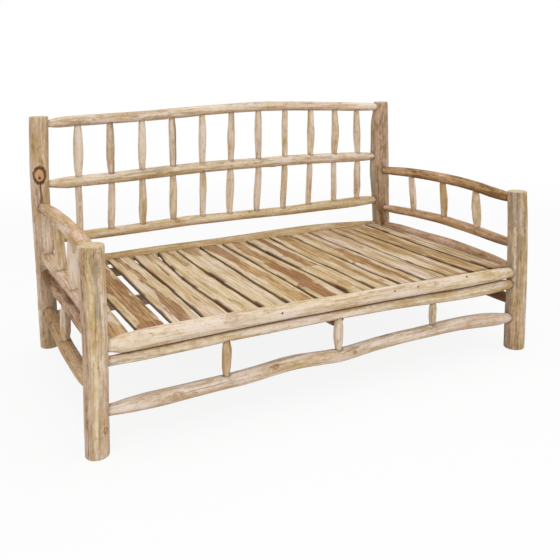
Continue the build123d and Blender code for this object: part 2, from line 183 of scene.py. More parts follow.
class Shader:
    """A material or a world, and the few kinds of node that the bench needs."""

    def __init__(self, name, library="materials"):
        self.owner = getattr(bpy.data, library).new(name)
        self.owner.use_nodes = True
        self.tree = self.owner.node_tree
        self.tree.nodes.clear()

    def add(self, kind, sockets=None, output=0, **options):
        """A new node with its options, and with a value or a link for each socket named."""
        node = self.tree.nodes.new(f"ShaderNode{kind}")
        for name, value in options.items():
            setattr(node, name, value)
        for key, value in (sockets or {}).items():
            if isinstance(value, Signal):
                self.tree.links.new(value.socket, node.inputs[key])
            else:
                node.inputs[key].default_value = value
        return Signal(self, node.outputs[output]) if node.outputs else None

    def attribute(self, name):
        return self.add("Attribute", output="Vector", attribute_name=name)

    def place(self):
        return self.add("TexCoord", output="Object")

    def parts(self, vector):
        first = self.add("SeparateXYZ", {0: vector})
        return [Signal(self, socket) for socket in first.socket.node.outputs]

    def length(self, vector):
        return self.add("VectorMath", {0: vector}, "Value", operation="LENGTH")

    def maths(self, operation, value, second=0.0):
        return self.add("Math", {0: value, 1: second}, operation=operation)

    def noise(self, vector, scale, detail=2.0, roughness=0.5):
        return self.add("TexNoise", {
            "Vector": vector, "Scale": scale, "Detail": detail, "Roughness": roughness})

    def grain(self):
        """The grain of the wood, and a function for noise drawn out along it."""
        grain = self.attribute("grain")

        def drawn(stretch, scale, detail=2.0, roughness=0.5):
            return self.noise(grain * (1.0, 1.0, stretch), scale, detail, roughness)

        return grain, drawn

    def step(self, value, low, high):
        """Smooth step of a value from 0 at low to 1 at high."""
        return self.add("MapRange", {0: value, 1: low, 2: high}, interpolation_type="SMOOTHSTEP")

    def mix(self, factor, first, second):
        """Colour mixed from first to second."""
        return self.add("Mix", {0: factor, 6: first, 7: second}, 2, data_type="RGBA")

    def paint(self, base, *coats):
        """Colour with coats over it, each (share, colour)."""
        for share, coat in coats:
            base = self.mix(share, base, coat)
        return base

    def shade(self, rgb, value):
        """Colour multiplied by a value."""
        return self.add("VectorMath", {0: rgb, 3: value}, operation="SCALE")

    def looking(self):
        """1 for rays from the camera, off gloss or through glass, otherwise 0."""
        camera, glossy, through = (
            self.add("LightPath", output=f"Is {kind} Ray")
            for kind in ("Camera", "Glossy", "Transmission"))
        return self.maths("MAXIMUM", self.maths("MAXIMUM", camera, glossy), through)

    def blend(self, factor, first, second):
        """Surface mixed from first to second."""
        return self.add("MixShader", {0: factor, 1: first, 2: second})

    def finish(self, surface, kind="Material"):
        self.add(f"Output{kind}", {"Surface": surface})
        return self.owner

    def surface(self, base, roughness, height, strength, distance, specular=0.2, metallic=0.0):
        """Finishes with a surface whose height is a bump over a distance in metres."""
        normal = self.add("Bump", {"Height": height, "Strength": strength, "Distance": distance})
        return self.finish(self.add("BsdfPrincipled", {
            "Base Color": base, "Roughness": roughness, "Normal": normal,
            "Specular IOR Level": specular, "Metallic": metallic}))


# ---- materials
def tone_of(shader, depth, gold):
    """Colour of peeled wood: from pale to dark by depth, and from rosy to golden by gold."""
    wood = settings().wood
    golden = shader.step(gold, 0.1, 0.9)
    pale, middle, dark = (
        shader.mix(golden, seen(rosy), seen(yellow)) for rosy, yellow in (
            (wood.cream, wood.straw), (wood.rose, wood.honey), (wood.umber, wood.walnut)))
    light = shader.mix(shader.step(depth, -0.1, 0.65), pale, middle)
    return shader.mix(shader.step(depth, 0.55, 1.15), light, dark)


def knots_in(shader, base, height, grain):
    """Knots laid over a wood: fine rings, and a dark rim and heart on the strong ones."""
    wood = settings().wood
    along, across, strength = shader.parts(shader.attribute("knot"))
    wobble = shader.noise(grain, 75.0, 3.0) - 0.5
    patchy = shader.step(shader.noise(grain, 130.0), 0.38, 0.6)
    radius = shader.maths("SQRT", along * along + across * across) + wobble * 0.45
    rings = shader.step(shader.maths("SINE", radius * 17.0 + wobble * 5.0), 0.1, 0.95) * patchy
    near = shader.step(radius, 2.0, 0.7) * strength
    middling = strength * strength
    strong = middling * middling
    beside = along + 0.3
    low = shader.maths("SQRT", beside * beside + across * across) + wobble * 0.3
    heart = shader.step(low, 0.3, 0.12) * middling * 0.9
    disc = shader.step(radius, 0.8, 0.66) * strong * 0.85
    rim = shader.step(radius, 0.6, 0.76) * shader.step(radius, 1.16, 1.0) * strong
    ragged = 0.82 + patchy * 0.18
    base = shader.paint(
        base, (near * 0.3, seen(wood.honey)), (near * rings * 0.8, seen(wood.brown, 0.9)),
        (disc, seen(wood.flesh)), (disc * rings * 0.5, seen(wood.russet)),
        (rim * ragged, seen(wood.knot, 1.8)), (heart, seen(wood.knot, 1.4)))
    return base, height + near * 0.3 - rim * 0.5 - heart * 0.5 - near * rings * 0.15


def cracks_in(shader, base, height):
    """Drying cracks; also gives the share of sawn end."""
    away, strength, sawn = shader.parts(shader.attribute("crack"))
    crack = shader.step(shader.maths("ABSOLUTE", away), 1.0, 0.35) * strength
    base = shader.mix(crack * 0.85, base, seen(settings().wood.knot, 0.8))
    return base, height - crack * 1.4, sawn


def sawn_end(shader, base, height, grain, flat, sawn):
    """Growth rings, radial cracks and saw marks on a sawn end."""
    wood = settings().wood
    far = shader.length(flat)
    wobble = shader.noise(grain, 60.0) - 0.5
    rings = shader.maths("SINE", (far + wobble * 0.004) * 1900.0) * 0.5 + 0.5
    turn = shader.add("VectorMath", {0: flat}, operation="NORMALIZE")
    spread = shader.maths("ABSOLUTE", shader.noise(turn, 5.5, 3.0) - 0.5)
    split = shader.step(spread, 0.014, 0.004) * shader.step(far, 0.004, 0.02)
    end = shader.paint(
        seen(wood.straw, 0.95), (rings * 0.45, seen(wood.honey)), (split, seen(wood.knot, 0.8)))
    return shader.mix(sawn, base, end), height + sawn * (rings * 0.25 - split * 1.5)


def branch_wood(name, contrast=1.25, flecks=1.0, tint=(1.0, 1.0, 1.0)):
    """Peeled branch: long fibres, streaks, stains, bark flecks, knots and cracks, and painted shade
    where other branches lie close.
    """
    wood = settings().wood
    shader = Shader(name)
    grain, drawn = shader.grain()
    depth, gold, grey = shader.parts(shader.attribute("tone"))
    x, y, shade_and_grime = shader.parts(shader.attribute("pith"))
    fibre = drawn(0.03, 560.0, 3.0, 0.6)
    streak = drawn(0.05, 105.0, 4.0, 0.65)
    vein = drawn(0.03, 230.0, 3.0, 0.6)
    stain = drawn(0.2, 30.0, 4.0, 0.6)
    blotch = drawn(0.45, 75.0, 3.0, 0.6)
    fleck = drawn(0.22, 270.0)
    bark = drawn(0.3, 120.0, 3.0, 0.6)
    lichen = drawn(0.1, 52.0, 4.0, 0.6)

    swing = (streak - 0.5) * 1.25 + (stain - 0.5) * 0.9 + (blotch - 0.5) * 0.7
    hue = gold + (stain - 0.5) * 2.2 + (streak - 0.5) * 1.2
    old = shader.step(lichen + (blotch - 0.5) * 0.4 + (grey - 0.5) * 0.45, 0.5, 0.68)
    lines = shader.step(vein + (depth - 0.5) * 0.1, 0.58, 0.7)
    specks = shader.step(fleck, 0.64, 0.72) * 0.6
    patches = shader.step(bark, 0.66, 0.74) * 0.6
    base = shader.paint(
        tone_of(shader, depth + swing * contrast, hue),
        (old * 0.6, seen(wood.weathered)), (lines * 0.38 * contrast, seen(wood.umber)),
        (specks * flecks, seen(wood.umber, 0.7)), (patches * flecks, seen(wood.knot, 1.6)))
    base = shader.shade(base * tint, 0.88 + fibre * 0.24)
    height = fibre * 0.5 + streak * 0.5 - specks * 0.4 - lines * 0.3 - patches * 0.4
    base, height = knots_in(shader, base, height, grain)
    base, height, sawn = cracks_in(shader, base, height)
    flat = shader.add("CombineXYZ", {0: x, 1: y})
    base, height = sawn_end(shader, base, height, grain, flat, sawn)
    # Painted shade where other branches lie close, with a little dirt.
    base = shader.mix(shade_and_grime * 0.85, base, seen(wood.dirt, 0.9))
    roughness = 0.6 + fibre * 0.22 + old * 0.1
    return shader.surface(base, roughness, height, strength=0.6, distance=0.0013)


def slat_wood(name):
    """Sawn and sanded board: pale sapwood with brown and ochre tongues of heartwood, and painted
    shade on its sides, underside and notched ends.
    """
    wood = settings().wood
    shader = Shader(name)
    grain, drawn = shader.grain()
    edge, hue, share = shader.parts(shader.attribute("heart"))
    depth, gold, shade_and_grime = shader.parts(shader.attribute("tone"))
    fibre = drawn(0.022, 640.0, 3.0, 0.65)
    lines = drawn(0.014, 230.0, 4.0, 0.7)
    streak = drawn(0.035, 88.0, 4.0, 0.65)
    ragged = drawn(0.14, 80.0, 4.0, 0.65)
    cloud = drawn(0.25, 17.0, 3.0)
    fleck = drawn(0.16, 260.0)

    contrast = depth * 1.8 + 0.75
    swing = ((lines - 0.5) * 1.6 + (streak - 0.5) * 1.3 + (cloud - 0.5) * 0.8) * contrast
    sap = tone_of(shader, depth + swing, gold + (cloud - 0.5) * 2.0 + (streak - 0.5))
    sap = shader.mix(shader.step(lines, 0.58, 0.7) * contrast * 0.42, sap, seen(wood.umber))
    mixed = hue + (streak - 0.5) * 2.2 + (ragged - 0.5) * 1.8
    heart = shader.paint(
        seen(wood.ochre), (shader.step(mixed, 0.0, 0.5), seen(wood.brown)),
        (shader.step(mixed, 0.5, 1.0), seen(wood.russet)),
        (shader.step(lines, 0.5, 0.66) * 0.65, seen(wood.umber, 0.9)),
        (shader.step(lines, 0.46, 0.34) * 0.45, seen(wood.ochre, 1.1)),
        (shader.step(ragged, 0.5, 0.64) * 0.4, seen(wood.umber, 0.85)))

    inside = edge + (ragged - 0.5) * 1.5 + (lines - 0.5) * 1.3 + (streak - 0.5) * 0.7
    tongue = shader.step(inside, -0.2, 0.3)
    full = share * 1.05 + (lines - 0.5) * 1.0 + (ragged - 0.5) * 0.6
    full = shader.maths("MAXIMUM", shader.maths("MINIMUM", full, 1.0), 0.0)
    rim = shader.step(inside, -0.2, 0.02) * shader.step(inside, 0.35, 0.1)
    rim = rim * shader.step(cloud, 0.44, 0.56) * share
    specks = shader.step(fleck, 0.65, 0.73) * 0.6
    base = shader.paint(sap, (tongue * full, heart), (rim * 0.5, seen(wood.umber, 0.8)),
                        (specks, seen(wood.umber, 0.6)))
    base = shader.shade(base, 0.88 + fibre * 0.24)
    height = fibre * 0.5 + lines * 0.5 - specks * 0.4
    base, height = knots_in(shader, base, height, grain)
    base, height, _sawn = cracks_in(shader, base, height)
    # Painted shade on the sides, underside and notched ends, with the dark waney edges.
    base = shader.mix(shade_and_grime, base, seen(wood.dirt))
    roughness = 0.58 + fibre * 0.2 - tongue * 0.05
    return shader.surface(base, roughness, height, strength=0.5, distance=0.001, specular=0.12)


def screw_steel(name):
    """Dull zinc steel with patches of rust."""
    wood = settings().wood
    shader = Shader(name)
    patch = shader.noise(shader.place(), 900.0, 4.0, 0.6)
    rust = shader.step(patch, 0.42, 0.62)
    base = shader.mix(rust, seen(wood.steel), seen(wood.rust))
    return shader.surface(base, 0.4 + rust * 0.4, patch, strength=0.4, distance=0.0003,
                        specular=0.5, metallic=0.7)


# ---- measuring the branches
AXIS_ORDER = {"x": (0, 1, 2), "y": (1, 0, 2), "z": (2, 0, 1)}
TRACE_STEP = 0.012  # metres between sections
TRACE_RAYS = 24
RAY_START = 0.15  # metres from the middle, outside every branch
END_INSET = 0.0004  # metres from the ends to the first and last section
SIDES = ("left", "right")
POSTS = [f"post_{row}_{side}" for row in ("front", "back") for side in SIDES]
BACK_RAILS = ["top_rail", "middle_rail", "lower_back_rail"]
SEAT_LOGS = ["front_seat_log", "back_seat_log"]
LOWER_LOGS = ["front_lower_log", "back_lower_log", "front_stretcher", "back_stretcher"]
ARM_RAILS = [f"{kind}_{side}" for kind in ("arm_rail", "lower_arm_rail") for side in SIDES]
SIDE_RAILS = [f"{kind}_{side}" for kind in ("side_seat_rail", "side_stretcher") for side in SIDES]
SIDE_RAILS += ["cross_bearer"]
ARM_SPINDLES = [f"arm_spindle_{side}_{n}" for side in SIDES for n in (1, 2, 3)]
SIDE_SPINDLES = [f"side_short_spindle_{side}" for side in SIDES]
SINGLE_BRANCHES = (
    ("z", POSTS), ("x", BACK_RAILS + SEAT_LOGS + LOWER_LOGS), ("y", ARM_RAILS + SIDE_RAILS),
    ("z", ARM_SPINDLES + SIDE_SPINDLES))
BACK_SPINDLE_COUNT = 11
SHORT_SPINDLE_GAP = 0.2  # metres, less than there is between two of them


@functools.cache
def solid(node):
    """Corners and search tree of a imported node's surface."""
    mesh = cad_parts[node].data
    corners = [vertex.co.copy() for vertex in mesh.vertices]
    tree = BVHTree.FromPolygons(corners, [face.vertices[:] for face in mesh.polygons])
    return np.array([corner[:] for corner in corners]), tree


def clusters(points, gap):
    """Groups of points with more than a gap along X between them, from left to right."""
    points = points[points[:, 0].argsort()]
    return np.split(points, np.flatnonzero(np.diff(points[:, 0]) > gap) + 1)


def round_fit(hits):
    """Middle and radius of the circle that most of the hits lie on."""
    count = len(hits)
    trios = []
    for second, third in ((count // 3, 2 * count // 3), (5, 11), (7, 15), (4, 9)):
        trios += [(i, (i + second) % count, (i + third) % count) for i in range(count)]
    a, b, c = (hits[np.array(trios)[:, k]] for k in range(3))
    b, c = b - a, c - a
    area = 2 * (b[:, 0] * c[:, 1] - b[:, 1] * c[:, 0])
    keep = np.abs(area) > 1e-8
    a, b, c, area = a[keep], b[keep], c[keep], area[keep]
    ab, ac = (b**2).sum(1), (c**2).sum(1)
    aside = np.stack([c[:, 1] * ab - b[:, 1] * ac, b[:, 0] * ac - c[:, 0] * ab], 1)
    middle = a + aside / area[:, None]
    radius = np.linalg.norm(middle - a, axis=1)
    miss = np.abs(np.linalg.norm(hits[None] - middle[:, None], axis=2) - radius[:, None])
    best = int((miss < 0.0002).sum(1).argmax())
    on = hits[miss[best] < 0.0003]
    matrix = np.c_[2 * on, np.ones(len(on))]
    x, y, rest = np.linalg.lstsq(matrix, (on**2).sum(1), rcond=None)[0]
    return x, y, math.sqrt(rest + x * x + y * y)


class Branch:
    """One branch of a node: round sections (along, side, up, radius) from end to end."""

    def __init__(self, name, node, axis, points):
        self.name, self.node, self.axis = name, node, axis
        self.order = along, side, up = AXIS_ORDER[axis]
        self.low, self.high = low, high = points[:, along].min(), points[:, along].max()
        tree = solid(node)[1]
        ring = points[np.abs(points[:, along] - low) < 0.001][:, [side, up]]
        middle = (ring.min(0) + ring.max(0)) / 2
        rows = []
        steps = max(8, round((high - low) / TRACE_STEP))
        for at in np.linspace(low + END_INSET, high - END_INSET, steps + 1):
            hits = []
            for turn in np.arange(TRACE_RAYS) * (2 * math.pi / TRACE_RAYS):
                way, start = np.zeros(3), np.zeros(3)
                way[[side, up]] = math.cos(turn), math.sin(turn)
                start[[along, side, up]] = at, *middle
                hit = tree.ray_cast(Vector(start + way * RAY_START), Vector(-way), RAY_START)[0]
                if hit is not None:
                    hits.append((hit[side], hit[up]))
            *middle, radius = round_fit(np.array(hits))
            rows.append((at, *middle, radius))
        self.sections = table = np.array(rows)
        table[[0, -1], 0] = low, high
        table[1:-1, 1:] = (table[:-2, 1:] + 2 * table[1:-1, 1:] + table[2:, 1:]) / 4
        self.box = points.min(0), points.max(0)

    def at(self, along):
        """Side, up and radius of the branch at places along it."""
        return [np.interp(along, self.sections[:, 0], self.sections[:, k]) for k in (1, 2, 3)]

    def point(self, along):
        side, up, _radius = self.at(along)
        place = np.zeros(3)
        place[list(self.order)] = along, side, up
        return place


@functools.cache
def branches():
    """Every branch of the bench, by name."""
    found = {node: Branch(node, node, axis, solid(node)[0])
             for axis, nodes in SINGLE_BRANCHES for node in nodes}
    for number in range(1, BACK_SPINDLE_COUNT + 1):
        node = f"back_spindles_{number:02d}"
        points = solid(node)[0]
        low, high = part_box(node)
        split = found["middle_rail"].at((low.x + high.x) / 2)[1]
        for row, mine in (("lower", points[:, 2] < split), ("upper", points[:, 2] > split)):
            name = f"back_spindle_{row}_{number:02d}"
            found[name] = Branch(name, node, "z", points[mine])
    for row in ("front", "back"):
        node = f"{row}_short_spindles"
        for number, points in enumerate(clusters(solid(node)[0], SHORT_SPINDLE_GAP), 1):
            name = f"{row}_short_spindle_{number}"
            found[name] = Branch(name, node, "z", points)
    return found


@functools.cache
def joints():
    """Where branches enter others: on the carrier (along, angle, radius), and the length
    hidden in the carrier at each end of the guest."""
    found = branches()
    carried = {name: [] for name in found}
    hidden = {name: [0.0, 0.0] for name in found}
    for guest in found.values():
        for end, (tip, inward) in enumerate(((guest.low, 1), (guest.high, -1))):
            place = guest.point(tip)
            for carrier in found.values():
                along, side, up = carrier.order
                at = place[along]
                if carrier is guest or not carrier.low < at < carrier.high:
                    continue
                middle_side, middle_up, radius = carrier.at(at)
                deep = radius - math.hypot(place[side] - middle_side, place[up] - middle_up)
                if deep < 0:
                    continue
                out = guest.point(tip + inward * (deep + 0.01))
                angle = math.atan2(out[up] - middle_up, out[side] - middle_side)
                reach = guest.at(tip + inward * (deep + 0.004))[2]
                carried[carrier.name].append((out[along], angle, reach))
                hidden[guest.name][end] = deep
    return carried, hidden


# ---- helpers for meshes
def smooth(value, low, high):
    share = np.clip((value - low) / (high - low), 0, 1)
    return share * share * (3 - 2 * share)


def within(value, start, end, blur):
    """1 between start and end, fading to 0 over a blur inside each of them."""
    return smooth(value, start, start + blur) * (1 - smooth(value, end - blur, end))


def stack(*values):
    """Values of three layers, joined into vectors."""
    return np.stack(np.broadcast_arrays(*values), -1)


def ripple(rng, along, turns, pitch, lobes):
    """Smooth random relief in -1..1 with a pitch along a branch and lobes round it."""
    rows, columns = along / pitch, turns * lobes
    row, column = np.floor(rows).astype(int), np.floor(columns).astype(int)
    down, across = smooth(rows - row, 0, 1), smooth(columns - column, 0, 1)
    table = rng.uniform(-1, 1, (int(row.max()) + 2, lobes))
    near, far = (
        table[k, column % lobes] * (1 - across) + table[k, (column + 1) % lobes] * across
        for k in (row, row + 1))
    return near * (1 - down) + far * down


def waves(rng, along, turns, *layers):
    """Sum of ripples, each (height, pitch, lobes)."""
    return sum(height * ripple(rng, along, turns, pitch, lobes) for height, pitch, lobes in layers)


def turn_between(angle, other):
    """Signed angle from other to angle."""
    return (angle - other + math.pi) % (2 * math.pi) - math.pi


def walls(rings, reverse=False):
    """Faces between rings of points, or from a ring to a single point."""
    faces = []
    for ring, following in zip(rings, rings[1:]):
        columns = [ring, np.roll(ring, -1), np.roll(following, -1), following]
        if len(following) == 1:
            columns[2:] = [np.repeat(following, len(ring))]
        fresh = np.stack(columns, 1).tolist()
        faces += [face[::-1] for face in fresh] if reverse else fresh
    return faces


def mesh_piece(name, vertices, faces, layers, material, sharp=35.0):
    """Mesh object with its layers and material, smooth but for sharp edges."""
    mesh = bpy.data.meshes.new(name)
    mesh.from_pydata(vertices.tolist(), [], faces)
    for key, values in layers.items():
        layer = mesh.attributes.new(key, "FLOAT_VECTOR", "POINT")
        layer.data.foreach_set("vector", np.ascontiguousarray(values, np.float32).ravel())
    mesh.materials.append(material)
    mesh.update()
    mesh.shade_smooth()
    mesh.set_sharp_from_angle(angle=math.radians(sharp))
    return show(name, mesh)


def show(name, data):
    """Object that puts a mesh, lamp or camera in the scene."""
    item = bpy.data.objects.new(name, data)
    bpy.context.scene.collection.objects.link(item)
    return item


def turn_outwards(piece):
    """Turns every face of a closed mesh outwards."""
    work = bmesh.new()
    work.from_mesh(piece.data)
    bmesh.ops.recalc_face_normals(work, faces=work.faces)
    work.to_mesh(piece.data)
    work.free()


def dress(piece, node):
    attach(piece, "root")
    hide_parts(node)
    return piece


NO_MARK = {"knot": 3.0, "crack": 4.0}  # what a point says where there is no knot or crack


class Marks:
    """Knots or cracks of a surface: each point says where it lies in the nearest one."""

    def __init__(self, kind, shape, reach):
        self.values = np.zeros((*shape, 3))
        self.values[..., 0] = NO_MARK[kind]
        self.nearest = np.full(shape, reach)

    def lay(self, away, where, *values):
        """Sets the values where the mark lies and is nearer than the ones before it."""
        mine = where & (away < self.nearest)
        self.values[mine] = stack(*values)[mine]
        self.nearest = np.where(mine, away, self.nearest)

    def lay_knot(self, lengthways, across, strength, where=True):
        """Lays a knot at distances in its own sizes, and gives the distance from its middle."""
        far = np.hypot(lengthways, across)
        self.lay(far, where, lengthways, across, strength * (1 - smooth(far, 2.2, 2.9)))
        return far


# ---- growing the branches
SAW_RINGS = (0.82, 0.62, 0.42, 0.22)  # of the radius, across a sawn end
# Rise above a sawn end and cut into the radius, in metres, of each ring of its rounded edge.
EDGE_ROUND = np.array(((0.0, 0.0028), (0.0008, 0.0012), (0.0026, 0.0002)))
EDGE_CLEAR = 0.006  # metres from a sawn end to the first plain ring
FACETS = 7
FACET_DEEP = 0.0011
POST_INSET = 0.0009
CRACK_WIDTH = 0.0012  # metres, in the middle of a crack
CRACK_LEAST = 0.0002
KNOT_LONG = 1.35  # length of a knot along its branch, in widths
JOINT_SINK = 0.0022  # metres, round a branch that enters another
# How much painted shade a neighbour lays on the wood, and within how many metres.
SHADE_BESIDE = (0.6, 0.012)
SHADE_ACROSS = (0.5, 0.0075)
CLOSE_BY = 0.015  # metres, past which a neighbour is left out


class Look:
    """What sets a branch apart: its tone, knots, cracks, bands of colour and sawn ends.

    Knots are (along, degrees, size, strength), cracks (start, end, degrees, strength, and
    widths at both ends where they taper) and bands (kind, degrees, width, strength, start,
    end), in metres and degrees."""

    def __init__(self, depth, gold, grey, knots=(), cracks=(), bands=(), sawn=False,
                 random_knots=2):
        self.depth, self.gold, self.grey = depth, gold, grey
        self.knots, self.cracks, self.bands = knots, cracks, bands
        self.sawn, self.random_knots = sawn, random_knots


def nearness(branch, place):
    """Painted shade from the other branches close by: how much darker each point is painted, 0 to 1.
    """
    dark = np.zeros(place.shape[:2])
    low, high = branch.box[0] - CLOSE_BY, branch.box[1] + CLOSE_BY
    for other in branches().values():
        apart = (other.box[0] > high) | (other.box[1] < low)
        if other is branch or apart.any():
            continue
        along, side, up = other.order
        at = place[..., along]
        beyond = np.maximum(0, np.maximum(other.low - at, at - other.high))
        middle_side, middle_up, radius = other.at(at)
        gap = np.hypot(place[..., side] - middle_side, place[..., up] - middle_up) - radius
        strength, reach = SHADE_BESIDE if other.axis == branch.axis else SHADE_ACROSS
        far = np.hypot(np.maximum(gap, 0), beyond)
        dark = np.maximum(dark, strength * (1 - smooth(far, 0.0, reach)))
    return dark


class Growth:
    """Visible wood of a branch: rings of points over its solid, and what each point says."""

    def __init__(self, branch, look, fine):
        self.branch, self.look, self.skin = branch, look, settings().skin
        self.rng = np.random.default_rng(zlib.crc32(branch.name.encode()))
        self.usual = float(np.median(branch.sections[:, 3]))
        self.length = branch.high - branch.low
        rings = max(12, int(self.length / self.skin.ring_step / fine))
        around = max(20, 2 * round(math.pi * self.usual / (self.skin.arc_step * fine)))
        places = np.linspace(branch.low, branch.high, rings)
        if look.sawn:
            clear = (places > branch.low + EDGE_CLEAR) & (places < branch.high - EDGE_CLEAR)
            rise = EDGE_ROUND[:, 0]
            places = np.r_[branch.low + rise, places[clear], branch.high - rise[::-1]]
        self.along = places[:, None]
        self.run = self.along - branch.low
        self.turns = (np.arange(around) / around)[None, :]
        self.angle = self.turns * 2 * math.pi - math.pi
        self.shape = (len(places), around)
        self.side, self.up, self.radius = branch.at(self.along)
        bare_low, bare_high = joints()[1][branch.name]
        from_low = self.along - (branch.low + bare_low)
        from_high = (branch.high - bare_high) - self.along
        self.to_end = np.minimum(from_low, from_high)
        self.free = 1.0
        if not look.sawn:
            self.free = smooth(from_low, -0.002, 0.05) * smooth(from_high, -0.002, 0.05)

    def waves(self, *layers):
        return waves(self.rng, self.run, self.turns, *layers)

    def lump(self):
        """Radius with its lumps, and with facets where an end is whittled."""
        lumps = self.waves((0.5, 0.16, 3), (0.32, 0.07, 5), (0.12, 0.03, 9), (0.08, 0.12, 15))
        self.grown = self.radius * (1 + self.skin.relief * lumps * self.free)
        if not self.look.sawn:
            wander = waves(self.rng, self.run, self.turns * 0, (0.25, 0.2, 2))
            hollow = 1 - np.abs(np.sin(FACETS / 2 * (self.angle + wander)))
            whittled = smooth(self.to_end, -0.004, 0.02) * (1 - smooth(self.to_end, 0.03, 0.13))
            self.grown = self.grown - FACET_DEEP * whittled * hollow

    def knots(self):
        """Raises the knots, bends the grain round them and marks them."""
        usual, uniform = self.usual, self.rng.uniform
        low, high = (self.branch.low + 0.12 * self.length, self.branch.high - 0.12 * self.length)
        knots = list(self.look.knots) + [
            (uniform(low, high), uniform(-180, 180), usual * uniform(0.14, 0.3), uniform(0.2, 0.75))
            for _number in range(self.look.random_knots)]
        marks = Marks("knot", self.shape, 3.0)
        self.bent = self.angle
        for at, degrees, size, strength in knots:
            gap = turn_between(self.angle, math.radians(degrees))
            far = marks.lay_knot(
                (self.along - at) / (size * KNOT_LONG), self.radius * gap / size, strength)
            hump = min(0.09 * usual, 0.25 * size) * np.exp(-((far / 1.5) ** 2))
            dent = 0.12 * size * np.exp(-((far / 0.6) ** 2))
            self.grown = self.grown + (hump - dent) * self.free
            self.bent = self.bent - gap * 0.8 * np.exp(-((far / 1.9) ** 2))
        return marks.values

    def sink_joints(self):
        """Sinks the wood a little round the branches that enter it."""
        for at, turned, reach in joints()[0][self.branch.name]:
            far = np.hypot(self.along - at, self.radius * turn_between(self.angle, turned))
            self.grown = self.grown - JOINT_SINK * (1 - smooth(far, reach, reach + 0.01))

    def cracks(self):
        """Marks the cracks; a crack without widths is a spindle, widest in its middle."""
        marks = Marks("crack", self.shape, 1.0)
        for start, end, degrees, strength, *widths in self.look.cracks:
            run = self.along - start
            drift = 0.05 * np.sin(run * 23.0) + 0.03 * np.sin(run * 61.0)
            away = self.radius * (turn_between(self.angle, math.radians(degrees)) - drift)
            spindle = np.sqrt(np.clip(run * (end - self.along), 0, None)) / ((end - start) / 2)
            width = CRACK_WIDTH * spindle + CRACK_LEAST
            if widths:
                width = np.interp(self.along, (start, end), widths)
            fade = strength * within(self.along, start, end, 0.012)
            fade = fade * (1 - smooth(np.abs(away), 0.010, 0.016))
            marks.lay(np.abs(away), fade > 0, away / width, fade, 0.0)
        return marks.values

    def tones(self):
        """Depth, gold and grey of each point; lying branches get painted shade on their undersides.
        """
        look, along = self.look, self.along
        # Painted shade: deeper tone on the underside of a lying branch.
        under = 0.0 if self.branch.axis == "z" else np.clip(-np.sin(self.angle), 0, 1)
        dark = look.depth + self.skin.underside * under
        tones = {"dark": dark + self.waves((0.14, 0.45, 3), (0.1, 0.12, 6)),
                 "gold": look.gold + self.waves((0.3, 0.4, 3)),
                 "grey": look.grey + self.waves((0.25, 0.6, 4), (0.15, 0.1, 5))}
        for kind, degrees, width, strength, start, end in look.bands:
            middle = math.radians(degrees) + 0.08 * np.sin(along * 9.0)
            gap = np.degrees(np.abs(turn_between(self.angle, middle)))
            band = strength * (1 - smooth(gap, width * 0.5, width * 1.2))
            tones[kind] = tones[kind] + band * within(along, start - 0.05, end + 0.05, 0.1)
        return stack(*tones.values())

    def layers(self):
        """Place of each point, and its values for the material."""
        self.lump()
        knot = self.knots()
        self.sink_joints()
        crack = self.cracks()
        if self.look.sawn:
            self.grown = self.grown - POST_INSET
            for end in (self.grown, self.grown[::-1]):
                end[:len(EDGE_ROUND)] -= EDGE_ROUND[:, 1:]
        tone = self.tones()
        x, y = self.grown * np.cos(self.angle), self.grown * np.sin(self.angle)
        place = np.zeros((*self.shape, 3))
        place[..., self.branch.order] = stack(self.along, self.side + x, self.up + y)
        bent = stack(self.grown * np.cos(self.bent), self.grown * np.sin(self.bent), self.along)
        return {"place": place, "grain": bent + self.rng.uniform(-4, 4, 3),
                # The third value of pith is the painted shade from the branches close by.
                "pith": stack(x, y, nearness(self.branch, place)),
                "tone": tone, "knot": knot, "crack": crack}


def end_rings(edge, sawn):
    """Values across an end, by layer: smaller rings where it is sawn, and its middle."""
    middle = {key: values.mean(0) for key, values in edge.items()}
    middle["knot"] = np.array((NO_MARK["knot"], 0.0, 0.0))
    middle["crack"] = np.array((NO_MARK["crack"], 0.0, float(sawn)))
    shares = SAW_RINGS if sawn else ()
    if sawn:
        middle["pith"] = np.zeros(3)
        edge = {**edge, "knot": middle["knot"] + 0 * edge["knot"],
                "crack": middle["crack"] + 0 * edge["crack"]}
    return {key: np.concatenate([
        *(middle[key] + (values - middle[key]) * share for share in shares),
        middle[key][None]]) for key, values in edge.items()}


def grow(branch, look, material, fine=1.0):
    """Grows the visible wood of a branch over its solid."""
    layers = Growth(branch, look, fine).layers()
    rings = np.arange(layers["place"][..., 0].size).reshape(layers["place"].shape[:2])
    around = rings.shape[1]
    flip = branch.axis == "y"
    faces = walls(rings, flip)
    tables = [{key: values.reshape(-1, 3) for key, values in layers.items()}]
    count = rings.size
    for row in (0, -1):
        tables.append(end_rings({key: values[row] for key, values in layers.items()}, look.sawn))
        fresh = np.arange(len(tables[-1]["place"])) + count
        inner = fresh[:-1].reshape(-1, around)
        faces += walls([rings[row], *inner, fresh[-1:]], flip == (row == -1))
        count += len(fresh)
    layers = {key: np.concatenate([table[key] for table in tables]) for key in layers}
    vertices = layers.pop("place")
    if look.sawn:
        vertices = np.clip(vertices, *map(np.array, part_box(branch.node)))
    return dress(mesh_piece(branch.name, vertices, faces, layers, material), branch.node)


